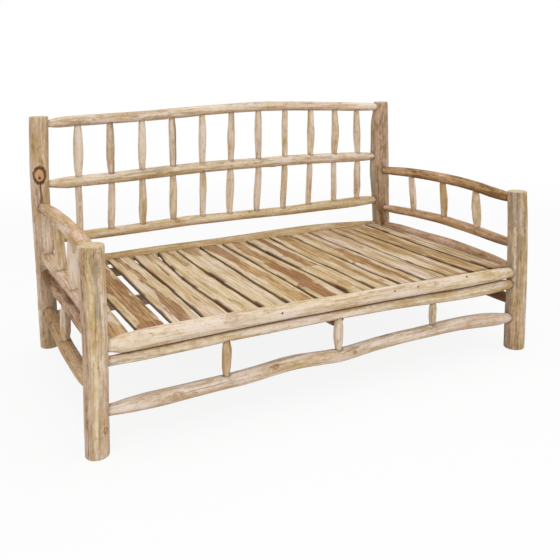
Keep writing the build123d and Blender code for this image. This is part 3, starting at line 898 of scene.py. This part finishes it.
# ---- seat slats
# Heartwood on each slat: (hue, depth, [(y, middle x, half width)...]) in millimetres.
# Hue runs from 0, ochre, through 0.5, brown, to 1, russet.
SLAT_HEARTS = {
    1: [(0.1, 0.75, [(-560, -850, 36), (-400, -850, 32), (-330, -860, 10), (-300, -862, 0)]),
        (0.3, 0.35, [(120, -868, 0), (260, -862, 22), (560, -858, 28)])],
    2: [(0.55, 0.9, [(-60, -742, 30), (0, -743, 42), (100, -741, 40), (200, -733, 24),
                     (320, -722, 14), (560, -745, 24)]),
        (0.45, 0.85, [(-400, -728, 36), (-300, -729, 38), (-170, -726, 38), (-60, -742, 30)]),
        (0.95, 0.9, [(-560, -728, 74), (-430, -728, 58), (-375, -728, 20), (-340, -728, 0)])],
    3: [(0.9, 0.8, [(-560, -604, 22), (-440, -604, 20), (-380, -604, 26), (-290, -604, 32),
                    (-200, -604, 22), (-100, -601, 10), (-50, -602, 6)]),
        (0.4, 0.85, [(-50, -602, 7), (0, -604, 7), (100, -609, 14), (200, -604, 16),
                     (300, -616, 15), (400, -624, 11), (560, -626, 23)])],
    4: [(0.25, 0.8, [(100, -487, 0), (130, -488, 4), (200, -487, 7), (350, -485, 8), (560, -486, 8)]),
        (0.2, 0.75, [(-395, -486, 0), (-340, -487, 7), (-260, -488, 5), (-190, -489, 0)])],
    5: [(0.3, 0.75, [(190, -372, 0), (235, -369, 20), (262, -372, 11), (320, -370, 9),
                     (560, -373, 6)]),
        (0.05, 0.4, [(-150, -388, 0), (-90, -388, 13), (-20, -390, 0)]),
        (0.2, 0.7, [(-560, -360, 10), (-400, -360, 10), (-320, -370, 6), (-240, -372, 0)])],
    6: [(0.45, 0.6, [(300, -256, 0), (370, -258, 24), (440, -256, 38), (560, -256, 44)]),
        (0.3, 0.3, [(-500, -233, 3), (-300, -236, 4), (0, -246, 4), (250, -252, 4), (330, -254, 0)])],
    7: [(0.6, 0.8, [(150, -136, 22), (240, -140, 27), (330, -142, 34), (420, -145, 43),
                    (560, -141, 34)]),
        (0.1, 0.75, [(-560, -122, 30), (-400, -122, 32), (-300, -124, 22), (-200, -124, 23),
                     (-100, -126, 31), (-40, -132, 26), (30, -136, 32), (150, -136, 24)])],
    8: [(0.4, 0.85, [(60, -10, 26), (100, -8, 24), (200, -14, 20), (290, -20, 32), (400, -12, 24),
                     (560, -8, 18)]),
        (0.85, 0.95, [(-560, -2, 27), (-400, 0, 28), (-320, -2, 32), (-290, -12, 38),
                      (-265, 2, 32), (-170, 6, 36), (-100, -1, 30), (0, -17, 30), (60, -10, 28)])],
    9: [(0.5, 0.85, [(-95, 142, 0), (-62, 140, 34), (0, 138, 24), (100, 136, 26), (132, 126, 40),
                     (160, 134, 26), (250, 134, 17), (400, 132, 20), (560, 130, 18)]),
        (0.05, 0.35, [(-330, 140, 14), (-200, 142, 18), (-90, 141, 22), (-60, 141, 0)]),
        (0.15, 0.6, [(-400, 140, 12), (-345, 141, 33), (-320, 140, 10)]),
        (0.45, 0.55, [(-560, 152, 16), (-440, 151, 14), (-400, 150, 0)])],
    10: [(0.7, 0.85, [(360, 262, 24), (420, 262, 30), (560, 260, 36)]),
         (0.1, 0.7, [(-80, 263, 22), (0, 262, 22), (200, 258, 28), (300, 258, 28), (360, 261, 26)]),
         (0.4, 0.75, [(-560, 266, 14), (-400, 265, 12), (-250, 263, 16), (-130, 264, 15),
                      (-60, 268, 20), (-20, 266, 0)]),
         (0.8, 0.8, [(-430, 294, 0), (-407, 296, 5), (-380, 299, 0)])],
    11: [(0.45, 0.75, [(130, 384, 12), (300, 386, 10), (420, 382, 13), (560, 376, 17)]),
         (0.5, 0.9, [(-560, 402, 18), (-450, 402, 17), (-300, 394, 17), (-200, 393, 22),
                     (-140, 384, 36), (-112, 379, 48), (-90, 386, 34), (0, 384, 26),
                     (100, 392, 24), (130, 386, 12)])],
    12: [(0.1, 0.65, [(55, 511, 0), (80, 511, 12), (120, 512, 13), (150, 511, 0)]),
         (0.6, 0.5, [(-490, 524, 11), (-450, 524, 11), (-425, 523, 0)])],
    13: [(0.5, 0.75, [(0, 628, 14), (80, 629, 20), (150, 627, 16), (300, 625, 12), (560, 624, 12)]),
         (0.5, 0.55, [(-560, 640, 14), (-300, 638, 13), (-100, 634, 13), (0, 629, 14)])],
    14: [(0.25, 0.65, [(120, 756, 16), (250, 757, 19), (350, 756, 25), (560, 755, 26)]),
         (0.3, 0.5, [(-60, 754, 14), (60, 754, 15), (120, 756, 16)]),
         (0.1, 0.6, [(-560, 756, 20), (-300, 754, 20), (-150, 755, 18), (-60, 754, 14)])],
    15: [(0.3, 0.3, [(-560, 868, 5), (0, 868, 7), (300, 862, 6), (560, 856, 5)])],
}
SLAT_KNOTS = {
    1: [(-0.838, -0.238, 0.006, 0.9)],
    8: [(-0.047, -0.305, 0.013, 0.9), (-0.044, -0.002, 0.006, 0.7)],
    9: [(0.088, 0.130, 0.005, 0.6)],
    11: [(0.330, -0.133, 0.007, 1.0)],
    12: [(0.489, 0.424, 0.005, 0.5)],
    5: [(-0.352, 0.244, 0.005, 0.6)],
}
SLAT_TONES = {  # depth and gold of the pale wood
    1: (0.25, 0.8), 2: (0.25, 0.75), 3: (0.22, 0.7), 4: (0.26, 0.65), 5: (0.24, 0.7),
    6: (0.24, 0.75), 7: (0.26, 0.8), 8: (0.3, 0.75), 9: (0.29, 0.75), 10: (0.36, 0.8),
    11: (0.35, 0.72), 12: (0.38, 0.5), 13: (0.41, 0.68), 14: (0.52, 0.75), 15: (0.62, 0.7)}
STAINED_SLATS = (5, 6, 9, 14, 15)  # dark along the left edge
SLAT_STEP = 0.008  # metres, along a slat
SLAT_TOP_STEP = 0.0065  # metres, across it
SLAT_ROUND = 0.0028
SLAT_INSET = 0.0005  # metres from the ends to the first and last row
SLAT_SWAY = 0.0009  # metres that the edges wander
SLAT_NOTCHED = 0.013  # metres at each end that lie in a notch
SLAT_CRACK = 0.0006  # half a crack's width, in metres
SLAT_CORNER = ((0.0, 1.0), (0.08, 0.62), (0.35, 0.25), (0.7, 0.06))  # out and down, in roundings


def slat_edges(node, rows):
    """X of the left and right edge of a slat at each row, smoothed along it."""
    points, tree = solid(node)
    low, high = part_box(node)
    middle = float(points[np.abs(points[:, 1] - low.y) < 0.001][:, 0].mean())
    edges = []
    for y in rows:
        start = Vector((middle, y, (low.z + high.z) / 2))
        pair = [tree.ray_cast(start, Vector((way, 0, 0)))[0].x for way in (-1, 1)]
        middle = (pair[0] + pair[1]) / 2
        edges.append(pair)
    weights = np.hanning(9) / np.hanning(9).sum()
    padded = np.pad(edges, ((4, 4), (0, 0)), "edge")
    return [np.convolve(padded[:, k], weights, "valid")[:, None] for k in (0, 1)]


def slat_profile(width, thick):
    """Points round a slat: share of its width, step outwards, and drop below its top."""
    corner = [(SLAT_ROUND * out, SLAT_ROUND * down) for out, down in SLAT_CORNER]
    shape = [(0.0, out, down) for out, down in corner]
    shape += [(share, SLAT_ROUND * (1 - 2 * share), 0.0)
              for share in np.linspace(0, 1, max(12, int(width / SLAT_TOP_STEP)))]
    shape += [(1.0, -out, down) for out, down in corner[::-1]]
    shape += [(1.0, -out, thick - down) for out, down in corner]
    shape += [(share, SLAT_ROUND * (1 - 2 * share), thick) for share in np.linspace(1, 0, 5)]
    shape += [(0.0, out, thick - down) for out, down in corner[::-1]]
    return np.array(shape).T[:, None, :]


def slat_heart(number, x, y):
    """Edge, hue and depth of the heartwood at each point of a slat."""
    edge = np.full(x.shape, -3.0)
    hue, depth = np.zeros(x.shape), np.zeros(x.shape)
    for tint, strength, stations in SLAT_HEARTS[number]:
        places, middles, halves = np.array(stations).T / 1000
        half = np.interp(y, places, halves, left=-0.05, right=-0.05)
        inside = (half - np.abs(x - np.interp(y, places, middles))) / 0.02
        mine = inside > edge
        edge = np.where(mine, inside, edge)
        hue, depth = np.where(mine, tint, hue), np.where(mine, strength, depth)
    return stack(np.clip(edge, -1.5, 1.5), hue, depth)


def saw_slat(number, material):
    """Saws one slat: rounded edges, a little cup and wave, its heartwood, and painted shade on its
    sides, underside and notched ends.
    """
    node = f"seat_slat_{number:02d}"
    rng = np.random.default_rng(zlib.crc32(node.encode()))
    low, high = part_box(node)
    rows = np.linspace(
        low.y + SLAT_INSET, high.y - SLAT_INSET, int((high.y - low.y) / SLAT_STEP))
    sway = functools.partial(waves, rng, (rows - rows[0])[:, None])
    left, right = (
        edge + inwards * SLAT_SWAY * (1.5 + sway(np.zeros((1, 1)), (1, 0.07, 2), (0.5, 0.025, 2)))
        for edge, inwards in zip(slat_edges(node, rows), (1, -1)))
    width = right - left
    thick = high.z - low.z
    shares, outs, downs = slat_profile(float(width.mean()), thick)
    turns = shares * 0.8
    x = left + width * shares + outs
    y = rows[:, None] + 0 * x
    upper = downs < thick / 2
    wave = sway(turns, (1, 0.12, 4), (0.5, 0.04, 7))
    cup = rng.uniform(-1, 1) * (2 * shares - 1) ** 2
    relief = settings().skin.slat_relief * (wave - 0.6 + 0.5 * cup)
    z = high.z - downs + np.where(upper, relief, 0)

    knots = Marks("knot", x.shape, 3.0)
    bent = x
    for knot_x, knot_y, size, strength in SLAT_KNOTS.get(number, ()):
        far = knots.lay_knot((y - knot_y) / (size * 1.3), (x - knot_x) / size, strength, upper)
        bent = bent - (x - knot_x) * 0.8 * np.exp(-((far / 2.0) ** 2))
    flow = 0.4 * (left + right)
    grain = stack(bent - flow, z * 1.6, y) + rng.uniform(-4, 4, 3)
    depth, gold = SLAT_TONES[number]
    depth = depth + sway(turns, (0.12, 0.3, 3))
    gold = gold + sway(turns, (0.3, 0.4, 3))

    wane = smooth(sway((shares > 0.5) * 0.5, (1, 0.09, 2)), -0.1, 0.5)
    to_end = np.minimum(y - (low.y + SLAT_NOTCHED), (high.y - SLAT_NOTCHED) - y)
    to_edge = np.minimum(x - left, right - x) + 0.012 * (1 - upper)
    # Painted shade near the ends that lie in the notches, and dark waney edges on the top.
    shade_and_grime = 0.5 * (1 - smooth(to_end, 0.0, 0.022)) + 0.7 * wane * (1 - smooth(to_edge, 0.001, 0.008))
    if number in STAINED_SLATS:
        shade_and_grime = np.maximum(shade_and_grime, 0.8 * wane * (1 - smooth(x - left, 0.003, 0.015)))
    # Painted shade on the sides and the underside.
    shade_and_grime = np.maximum(shade_and_grime, 0.94 * smooth(downs, 0.0008, 0.0045))

    crack = Marks("crack", x.shape, 1.0).values
    for _number in range(2):
        start = rng.uniform(-0.5, 0.3)
        end = start + rng.uniform(0.05, 0.16)
        away = x - (left + width * rng.uniform(0.2, 0.8) + 0.002 * np.sin(y * 40))
        fade = 0.7 * within(y, start, end, 0.02) * (1 - smooth(np.abs(away), 0.008, 0.012))
        mine = upper & (fade > 0)
        crack[mine] = stack(away / SLAT_CRACK, fade, 0.0)[mine]

    rings = np.arange(x.size).reshape(x.shape)
    faces = walls(rings) + [rings[0, ::-1].tolist(), rings[-1].tolist()]
    layers = {
        "grain": grain, "heart": slat_heart(number, x, y),
        "tone": stack(depth, gold, np.clip(shade_and_grime, 0, 1)), "knot": knots.values, "crack": crack}
    layers = {key: values.reshape(-1, 3) for key, values in layers.items()}
    piece = mesh_piece(node, stack(x, y, z).reshape(-1, 3), faces, layers, material, 50.0)
    turn_outwards(piece)
    dress(piece, node)


# ---- screws
SCREW_SIDES = 24
# Share of the radius, depth and depth of the cross, of each ring from head to tip, in metres.
SCREW_RINGS = (
    (0.24, 0.0, 0.0014), (0.48, 0.000072, 0.0014), (0.72, 0.00036, 0.0),
    (0.8928, 0.000792, 0.0), (0.96, 0.00162, 0.0), (0.96, 0.0036, 0.0), (0.55, 0.0036, 0.0),
    (0.55, 0.03, 0.0), (0.2, 0.036, 0.0))
SCREW_CROSS_DEEP = 0.0016
SCREW_LENGTH = 0.038
SCREW_GAP = 0.03  # metres, less than there is between two screws
HOLE_ROUND = 1.12  # radius of a hole, in radii of its screw's head
HOLE_SLOPE = 0.16  # width of a hole's sloping rim, in the same radii
HOLE_DEEP = 0.0075
LOG_FRONT = 0.004  # metres behind a head, within which the log's skin lies


def screw_places():
    """Front middle (x, y, z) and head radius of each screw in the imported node."""
    for points in clusters(solid("seat_screws")[0], SCREW_GAP):
        low, high = points.min(0), points.max(0)
        yield (low[0] + high[0]) / 2, low[1], (low[2] + high[2]) / 2, (high[0] - low[0]) / 2


def turn_screws(material):
    """Domed screw heads with a cross recess, on their shanks."""
    turn = 2 * math.pi * np.arange(SCREW_SIDES) / SCREW_SIDES
    cross = np.abs(np.cos(2 * turn)) ** 6
    vertices, faces = [], []
    for x, y, z, radius in screw_places():
        rings = np.arange(len(SCREW_RINGS) * SCREW_SIDES).reshape(-1, SCREW_SIDES) + len(vertices)
        front, tip = rings[-1, -1:] + 1, rings[-1, -1:] + 2
        faces += walls([rings[0], front], True) + walls([*rings, tip])
        for share, deep, recess in SCREW_RINGS:
            far = share * radius
            vertices += stack(x + far * np.cos(turn), y + deep + recess * cross,
                              z + far * np.sin(turn)).tolist()
        vertices += [(x, y + SCREW_CROSS_DEEP, z), (x, y + SCREW_LENGTH, z)]
    piece = mesh_piece("seat_screws_turned", np.array(vertices), faces, {}, material)
    turn_outwards(piece)
    dress(piece, "seat_screws")


def bore_log(piece):
    """Sinks the screws' holes into the front seat log."""
    for x, y, z, radius in screw_places():

        def away(vertex):
            behind = vertex.co.y >= y + LOG_FRONT
            return math.inf if behind else math.hypot(vertex.co.x - x, vertex.co.z - z)

        work = bmesh.new()
        work.from_mesh(piece.data)
        for reach in (0.016, 0.009):
            close = [edge for edge in work.edges if all(away(v) < reach for v in edge.verts)]
            bmesh.ops.subdivide_edges(work, edges=close, cuts=2, use_grid_fill=True)
        for vertex in work.verts:
            inside = radius * HOLE_ROUND - away(vertex)
            if inside > 0:
                vertex.co.y += min(1.0, inside / (radius * HOLE_SLOPE)) * HOLE_DEEP
        work.to_mesh(piece.data)
        work.free()


# ---- looks of the branches
# Depth, gold and grey of each spindle in a row, after the number of its random knots.
SPINDLE_ROWS = {
    "back_spindle_upper_{:02d}": (
        1, (0.04, 0.2, 0.1), (0.2, 0.15, 0.4), (0.08, 0.25, 0.1), (0.3, 0.15, 0.4),
        (0.04, 0.2, 0.1), (0.26, 0.2, 0.3), (0.32, 0.4, 0.4), (0.18, 0.35, 0.2),
        (0.18, 0.4, 0.2), (0.38, 0.8, 0.1), (0.18, 0.35, 0.2)),
    "back_spindle_lower_{:02d}": (
        1, (0.1, 0.3, 0.2), (0.1, 0.2, 0.2), (0.3, 0.5, 0.2), (0.22, 0.45, 0.2),
        (0.2, 0.3, 0.2), (0.05, 0.35, 0.1), (0.12, 0.45, 0.1), (0.25, 0.6, 0.2),
        (0.08, 0.3, 0.1), (0.0, 0.35, 0.05), (0.14, 0.42, 0.2)),
    "arm_spindle_left_{}": (2, (0.04, 0.2, 0.2), (0.4, 0.85, 0.1), (0.25, 0.3, 0.35)),
    "arm_spindle_right_{}": (2, (0.4, 0.6, 0.2), (0.45, 0.75, 0.2), (0.12, 0.3, 0.2)),
    "front_short_spindle_{}": (2, (0.5, 0.75, 0.1), (0.15, 0.4, 0.2), (0.22, 0.4, 0.3)),
    "back_short_spindle_{}": (2, (0.4, 0.5, 0.3), (0.4, 0.6, 0.3), (0.4, 0.5, 0.2)),
}
SPINDLE_BANDS = {
    "back_spindle_upper_02": [("dark", -30, 55, 0.35, 0.5, 1.2), ("grey", -40, 50, 0.4, 0.5, 1.2)],
    "back_spindle_upper_04": [("dark", -20, 55, 0.6, 0.5, 1.2), ("grey", -30, 60, 0.7, 0.5, 1.2)],
    "back_spindle_lower_09": [("dark", -100, 80, 0.3, 0.60, 0.68)],
    "back_spindle_lower_11": [("dark", -100, 80, 0.3, 0.60, 0.68)],
}


def spindle_looks():
    """Looks of the spindles in rows, by name."""
    looks = {}
    for row, (random_knots, *tones) in SPINDLE_ROWS.items():
        for number, tone in enumerate(tones, 1):
            name = row.format(number)
            looks[name] = Look(
                *tone, bands=SPINDLE_BANDS.get(name, ()), random_knots=random_knots)
    return looks


LOOKS = spindle_looks() | {
    "post_front_left": Look(
        0.42, 0.55, 0.3, sawn=True, knots=[(0.690, -84, 0.024, 0.58), (0.10, -60, 0.008, 0.9)],
        cracks=[(0.66, 0.735, -58, 0.9), (0.69, 0.735, -95, 0.8), (0.0, 0.07, -150, 0.8)],
        bands=[("grey", -80, 16, 0.4, 0.0, 0.72), ("dark", -146, 22, 0.2, 0.0, 0.75),
               ("gold", -146, 30, -0.4, 0.0, 0.75), ("dark", -112, 12, -0.22, 0.0, 0.75),
               ("gold", -112, 20, 0.4, 0.0, 0.75)]),
    "post_front_right": Look(
        0.7, 0.35, 0.4, sawn=True, knots=[(0.587, -150, 0.006, 0.9)],
        bands=[("grey", -170, 20, 0.35, 0.0, 0.75), ("grey", -128, 12, 0.3, 0.2, 0.75),
               ("dark", -150, 12, -0.2, 0.0, 0.75)]),
    "post_back_left": Look(
        0.35, 0.35, 0.25, sawn=True, random_knots=4, knots=[(0.825, -98, 0.029, 1.0)],
        cracks=[(0.69, 0.803, -96, 0.95, 0.011, 0.003), (0.67, 0.76, -62, 0.6)],
        bands=[("dark", -120, 30, 0.2, 0.0, 0.8), ("dark", -97, 60, 0.2, 0.0, 0.3)]),
    "post_back_right": Look(
        0.5, 0.5, 0.3, sawn=True, random_knots=3, cracks=[(0.55, 0.62, -135, 0.9)],
        bands=[("grey", 175, 40, 0.5, 0.0, 1.1), ("dark", -110, 30, 0.2, 0.0, 1.1)]),
    "top_rail": Look(0.2, 0.3, 0.35, knots=[(-0.507, 155, 0.011, 0.6)]),
    "middle_rail": Look(
        0.12, 0.45, 0.4, knots=[(-0.82, -95, 0.012, 0.8), (0.235, -110, 0.010, 1.0)]),
    "lower_back_rail": Look(
        0.25, 0.8, 0.15, random_knots=4,
        knots=[(-0.31, 150, 0.008, 0.9), (0.093, 136, 0.006, 0.8)]),
    "front_seat_log": Look(
        0.2, 0.4, 0.15, random_knots=1,
        knots=[(-0.462, 139, 0.016, 0.55), (-0.80, 135, 0.014, 0.4), (0.47, 150, 0.010, 0.5)]),
    "back_seat_log": Look(0.45, 0.9, 0.2),
    "front_lower_log": Look(
        0.27, 0.55, 0.38, knots=[(-0.60, 150, 0.014, 0.5), (-0.738, 144, 0.006, 0.7)]),
    "back_lower_log": Look(0.4, 0.6, 0.3),
    "front_stretcher": Look(
        0.15, 0.3, 0.3,
        knots=[(-0.679, 165, 0.012, 0.7), (-0.289, 149, 0.009, 0.85), (-0.33, 160, 0.010, 0.6),
               (0.068, 162, 0.006, 0.9), (0.36, 150, 0.007, 0.5)],
        cracks=[(-0.66, -0.45, 160, 0.9), (-0.30, -0.24, 140, 0.7), (0.02, 0.10, 135, 0.7)]),
    "back_stretcher": Look(0.3, 0.45, 0.3),
    "arm_rail_left": Look(0.33, 0.45, 0.05, bands=[
        ("dark", 126, 180, 0.25, 0.15, 0.6), ("gold", 126, 180, 0.4, 0.1, 0.6)]),
    "arm_rail_right": Look(0.85, 0.8, 0.2),
    # Its dark band on the underside is painted shade.
    "lower_arm_rail_left": Look(0.28, 0.3, 0.1, bands=[("dark", -90, 90, 0.4, -0.5, 0.5)]),
    "lower_arm_rail_right": Look(0.62, 0.6, 0.35),
    "side_seat_rail_left": Look(0.74, 0.5, 0.05, bands=[("dark", 115, 90, 0.4, 0.2, 0.6)]),
    "side_seat_rail_right": Look(0.6, 0.45, 0.4),
    "side_stretcher_left": Look(0.58, 0.8, 0.2),
    # Its dark band on the upper inner side, which faces the camera, is painted shade under the seat.
    "side_stretcher_right": Look(0.6, 0.6, 0.3, bands=[("dark", 155, 110, 0.95, -0.6, 0.6)]),
    "cross_bearer": Look(0.95, 0.6, 0.2),
    "side_short_spindle_left": Look(0.15, 0.4, 0.2, bands=[("dark", -60, 50, 0.4, 0.1, 0.4)]),
    "side_short_spindle_right": Look(0.5, 0.6, 0.2),
}


# ---- operators
class Maker:
    """Base of the operators that make the bench."""

    bl_options = {"REGISTER", "UNDO"}
    fine = 1.0

    def make(self, names, slot, material):
        found = branches()
        return [grow(found[name], LOOKS[name], material, self.fine) for name in names]


class BENCH_OT_posts(Maker, bpy.types.Operator):
    """Grow the four upright posts with sawn tops and feet"""

    bl_idname = "log_bench.posts"
    bl_label = "Posts"

    def execute(self, context):
        self.make(POSTS, "post_wood", branch_wood("post_wood", 1.35))
        return {"FINISHED"}


class BENCH_OT_back_rails(Maker, bpy.types.Operator):
    """Grow the three rails of the back"""

    bl_idname = "log_bench.back_rails"
    bl_label = "Back rails"

    def execute(self, context):
        self.make(BACK_RAILS, "rail_wood", branch_wood("back_rail_wood"))
        return {"FINISHED"}


class BENCH_OT_seat_logs(Maker, bpy.types.Operator):
    """Grow the two logs that carry the slats, and bore the front one for its screws"""

    bl_idname = "log_bench.seat_logs"
    bl_label = "Seat logs"

    def execute(self, context):
        material = branch_wood("seat_log_wood", 1.2, 0.9)
        front, _back = self.make(SEAT_LOGS, "seat_log_wood", material)
        bore_log(front)
        return {"FINISHED"}


class BENCH_OT_lower_logs(Maker, bpy.types.Operator):
    """Grow the lower logs and the stretchers, front and back"""

    bl_idname = "log_bench.lower_logs"
    bl_label = "Lower logs and stretchers"

    def execute(self, context):
        self.make(LOWER_LOGS, "rail_wood", branch_wood("lower_log_wood"))
        return {"FINISHED"}


class BENCH_OT_arm_rails(Maker, bpy.types.Operator):
    """Grow the arm rails and the rails below them"""

    bl_idname = "log_bench.arm_rails"
    bl_label = "Arm rails"

    def execute(self, context):
        material = branch_wood("arm_wood", 1.35, tint=(1.02, 0.94, 0.92))
        self.make(ARM_RAILS[:2], "arm_wood", material)
        self.make(ARM_RAILS[2:], "rail_wood", material)
        return {"FINISHED"}


class BENCH_OT_side_rails(Maker, bpy.types.Operator):
    """Grow the seat rails and stretchers of the two ends, and the cross bearer"""

    bl_idname = "log_bench.side_rails"
    bl_label = "Side rails"

    def execute(self, context):
        material = branch_wood("side_wood", 1.35, tint=(1.02, 0.94, 0.93))
        self.make(SIDE_RAILS, "rail_wood", material)
        return {"FINISHED"}


class SpindleMaker(Maker):
    """Base of the operators that make spindles, which are finer than rails."""

    fine = 0.75

    def make_like(self, kinds, material):
        names = [name for name in LOOKS if any(kind in name for kind in kinds)]
        self.make(names, "spindle_wood", material)
        return {"FINISHED"}


class BENCH_OT_back_spindles(SpindleMaker, bpy.types.Operator):
    """Whittle the spindles of the back, above and below the middle rail"""

    bl_idname = "log_bench.back_spindles"
    bl_label = "Back spindles"

    def execute(self, context):
        return self.make_like(["back_spindle"], branch_wood("back_spindle_wood"))


class BENCH_OT_arm_spindles(SpindleMaker, bpy.types.Operator):
    """Whittle the spindles of the arms"""

    bl_idname = "log_bench.arm_spindles"
    bl_label = "Arm spindles"

    def execute(self, context):
        return self.make_like(["arm_spindle"], branch_wood("arm_spindle_wood", 1.35))


class BENCH_OT_short_spindles(SpindleMaker, bpy.types.Operator):
    """Whittle the short spindles below the seat"""

    bl_idname = "log_bench.short_spindles"
    bl_label = "Short spindles"

    def execute(self, context):
        return self.make_like(["short_spindle"], branch_wood("short_spindle_wood"))


class BENCH_OT_slats(Maker, bpy.types.Operator):
    """Saw the fifteen slats of the seat"""

    bl_idname = "log_bench.slats"
    bl_label = "Seat slats"

    def execute(self, context):
        material = slat_wood("slat_wood")
        for number in SLAT_HEARTS:
            saw_slat(number, material)
        return {"FINISHED"}


class BENCH_OT_screws(Maker, bpy.types.Operator):
    """Turn the screws in the front seat log"""

    bl_idname = "log_bench.screws"
    bl_label = "Seat screws"

    def execute(self, context):
        turn_screws(screw_steel("screw_steel"))
        return {"FINISHED"}


# ---- stage
CAMERA_PLACE = (-1.38446, -2.77108, 1.31527)
CAMERA_TURN = -26.8368  # degrees about Z, from looking along +Y
CAMERA_DIP = 8.373  # degrees below level
CAMERA_ROLL = -0.6873  # degrees
CAMERA_LENS = 44.553
CAMERA_SENSOR = 36.0
CAMERA_SHIFT_UP = -0.20536
FLOOR_REACH = 40.0
FLOOR_DROP = 0.0005  # metres below the feet
LAMPS = (
    ("key_lamp", (-2.2, -4.0, 3.6), 3.0, "key_power"),
    ("fill_lamp", (4.2, -2.6, 2.6), 2.5, "fill_power"),
    ("top_lamp", (0.2, 0.2, 4.4), 3.5, "top_power"),
)
LAMP_TARGET = (0.0, 0.0, 0.45)


def floor_paint():
    """Pale floor that is white to the camera and keeps the bench's shadow."""
    shader = Shader("floor_paint")
    far = shader.step(shader.length(shader.place()), 2.6, 5.5)
    diffuse = shader.add("BsdfDiffuse", {"Color": seen(settings().stage.floor)})
    glow = shader.add("Emission", {"Color": WHITE, "Strength": 1.0})
    return shader.finish(shader.blend(shader.looking() * (0.88 + far * 0.12), diffuse, glow))


def studio_sky():
    """Plain light from all round, and white behind the bench."""
    shader = Shader("studio", "worlds")
    light, backdrop = (
        shader.add("Background", {"Color": WHITE, "Strength": strength})
        for strength in (settings().stage.sky, 1.0))
    return shader.finish(shader.blend(shader.looking(), light, backdrop), "World")


def lay_floor():
    mesh = bpy.data.meshes.new("floor")
    corners = [(x * FLOOR_REACH, y * FLOOR_REACH, 0) for x, y in ((-1, -1), (1, -1), (1, 1), (-1, 1))]
    mesh.from_pydata(corners, [], [(0, 1, 2, 3)])
    mesh.materials.append(floor_paint())
    floor = show("floor", mesh)
    floor.location.z = -FLOOR_DROP


def hang_lamps():
    for name, place, width, power in LAMPS:
        lamp = bpy.data.lights.new(name, "AREA")
        lamp.shape, lamp.size, lamp.energy = "DISK", width, getattr(settings().stage, power)
        holder = show(name, lamp)
        holder.location = place
        aim = Vector(LAMP_TARGET) - Vector(place)
        holder.rotation_euler = aim.to_track_quat("-Z", "Y").to_euler()


def place_camera():
    camera = bpy.data.cameras.new("camera")
    camera.lens, camera.sensor_width, camera.shift_y = CAMERA_LENS, CAMERA_SENSOR, CAMERA_SHIFT_UP
    camera.clip_start, camera.clip_end = 0.05, 100.0
    pose = Matrix.Translation(CAMERA_PLACE)
    for degrees, axis in ((CAMERA_TURN, "Z"), (90 - CAMERA_DIP, "X"), (CAMERA_ROLL, "Z")):
        pose = pose @ Matrix.Rotation(math.radians(degrees), 4, axis)
    eye = show("camera", camera)
    eye.matrix_world = pose
    return eye


class BENCH_OT_stage(Maker, bpy.types.Operator):
    """Lay the floor and place the lamps and the camera"""

    bl_idname = "log_bench.stage"
    bl_label = "Stage"

    def execute(self, context):
        lay_floor()
        hang_lamps()
        context.scene.world = studio_sky()
        context.scene.camera = place_camera()
        context.scene.view_settings.view_transform = "Standard"
        return {"FINISHED"}


MAKERS = (
    BENCH_OT_stage, BENCH_OT_posts, BENCH_OT_back_rails, BENCH_OT_seat_logs,
    BENCH_OT_lower_logs, BENCH_OT_arm_rails, BENCH_OT_side_rails, BENCH_OT_back_spindles,
    BENCH_OT_arm_spindles, BENCH_OT_short_spindles, BENCH_OT_slats, BENCH_OT_screws,
)


class BENCH_PT_panel(bpy.types.Panel):
    """Lists the makers of the bench and their settings"""

    bl_idname = "BENCH_PT_panel"
    bl_label = "Log bench"
    bl_space_type = "VIEW_3D"
    bl_region_type = "UI"
    bl_category = "Log bench"

    def draw(self, context):
        for maker in MAKERS:
            self.layout.operator(maker.bl_idname)
        for group in (settings().wood, settings().skin, settings().stage):
            box = self.layout.box()
            for key in group.__annotations__:
                box.prop(group, key)


CLASSES = (BenchWood, BenchSkin, BenchStage, BenchSettings, *MAKERS, BENCH_PT_panel)


def register():
    for item in CLASSES:
        bpy.utils.register_class(item)
    bpy.types.Scene.log_bench = PointerProperty(type=BenchSettings)


def unregister():
    del bpy.types.Scene.log_bench
    for item in reversed(CLASSES):
        bpy.utils.unregister_class(item)


def main():
    register()
    for maker in MAKERS:
        _group, name = maker.bl_idname.split(".")
        getattr(bpy.ops.log_bench, name)()


if __name__ == "__main__":
    main()
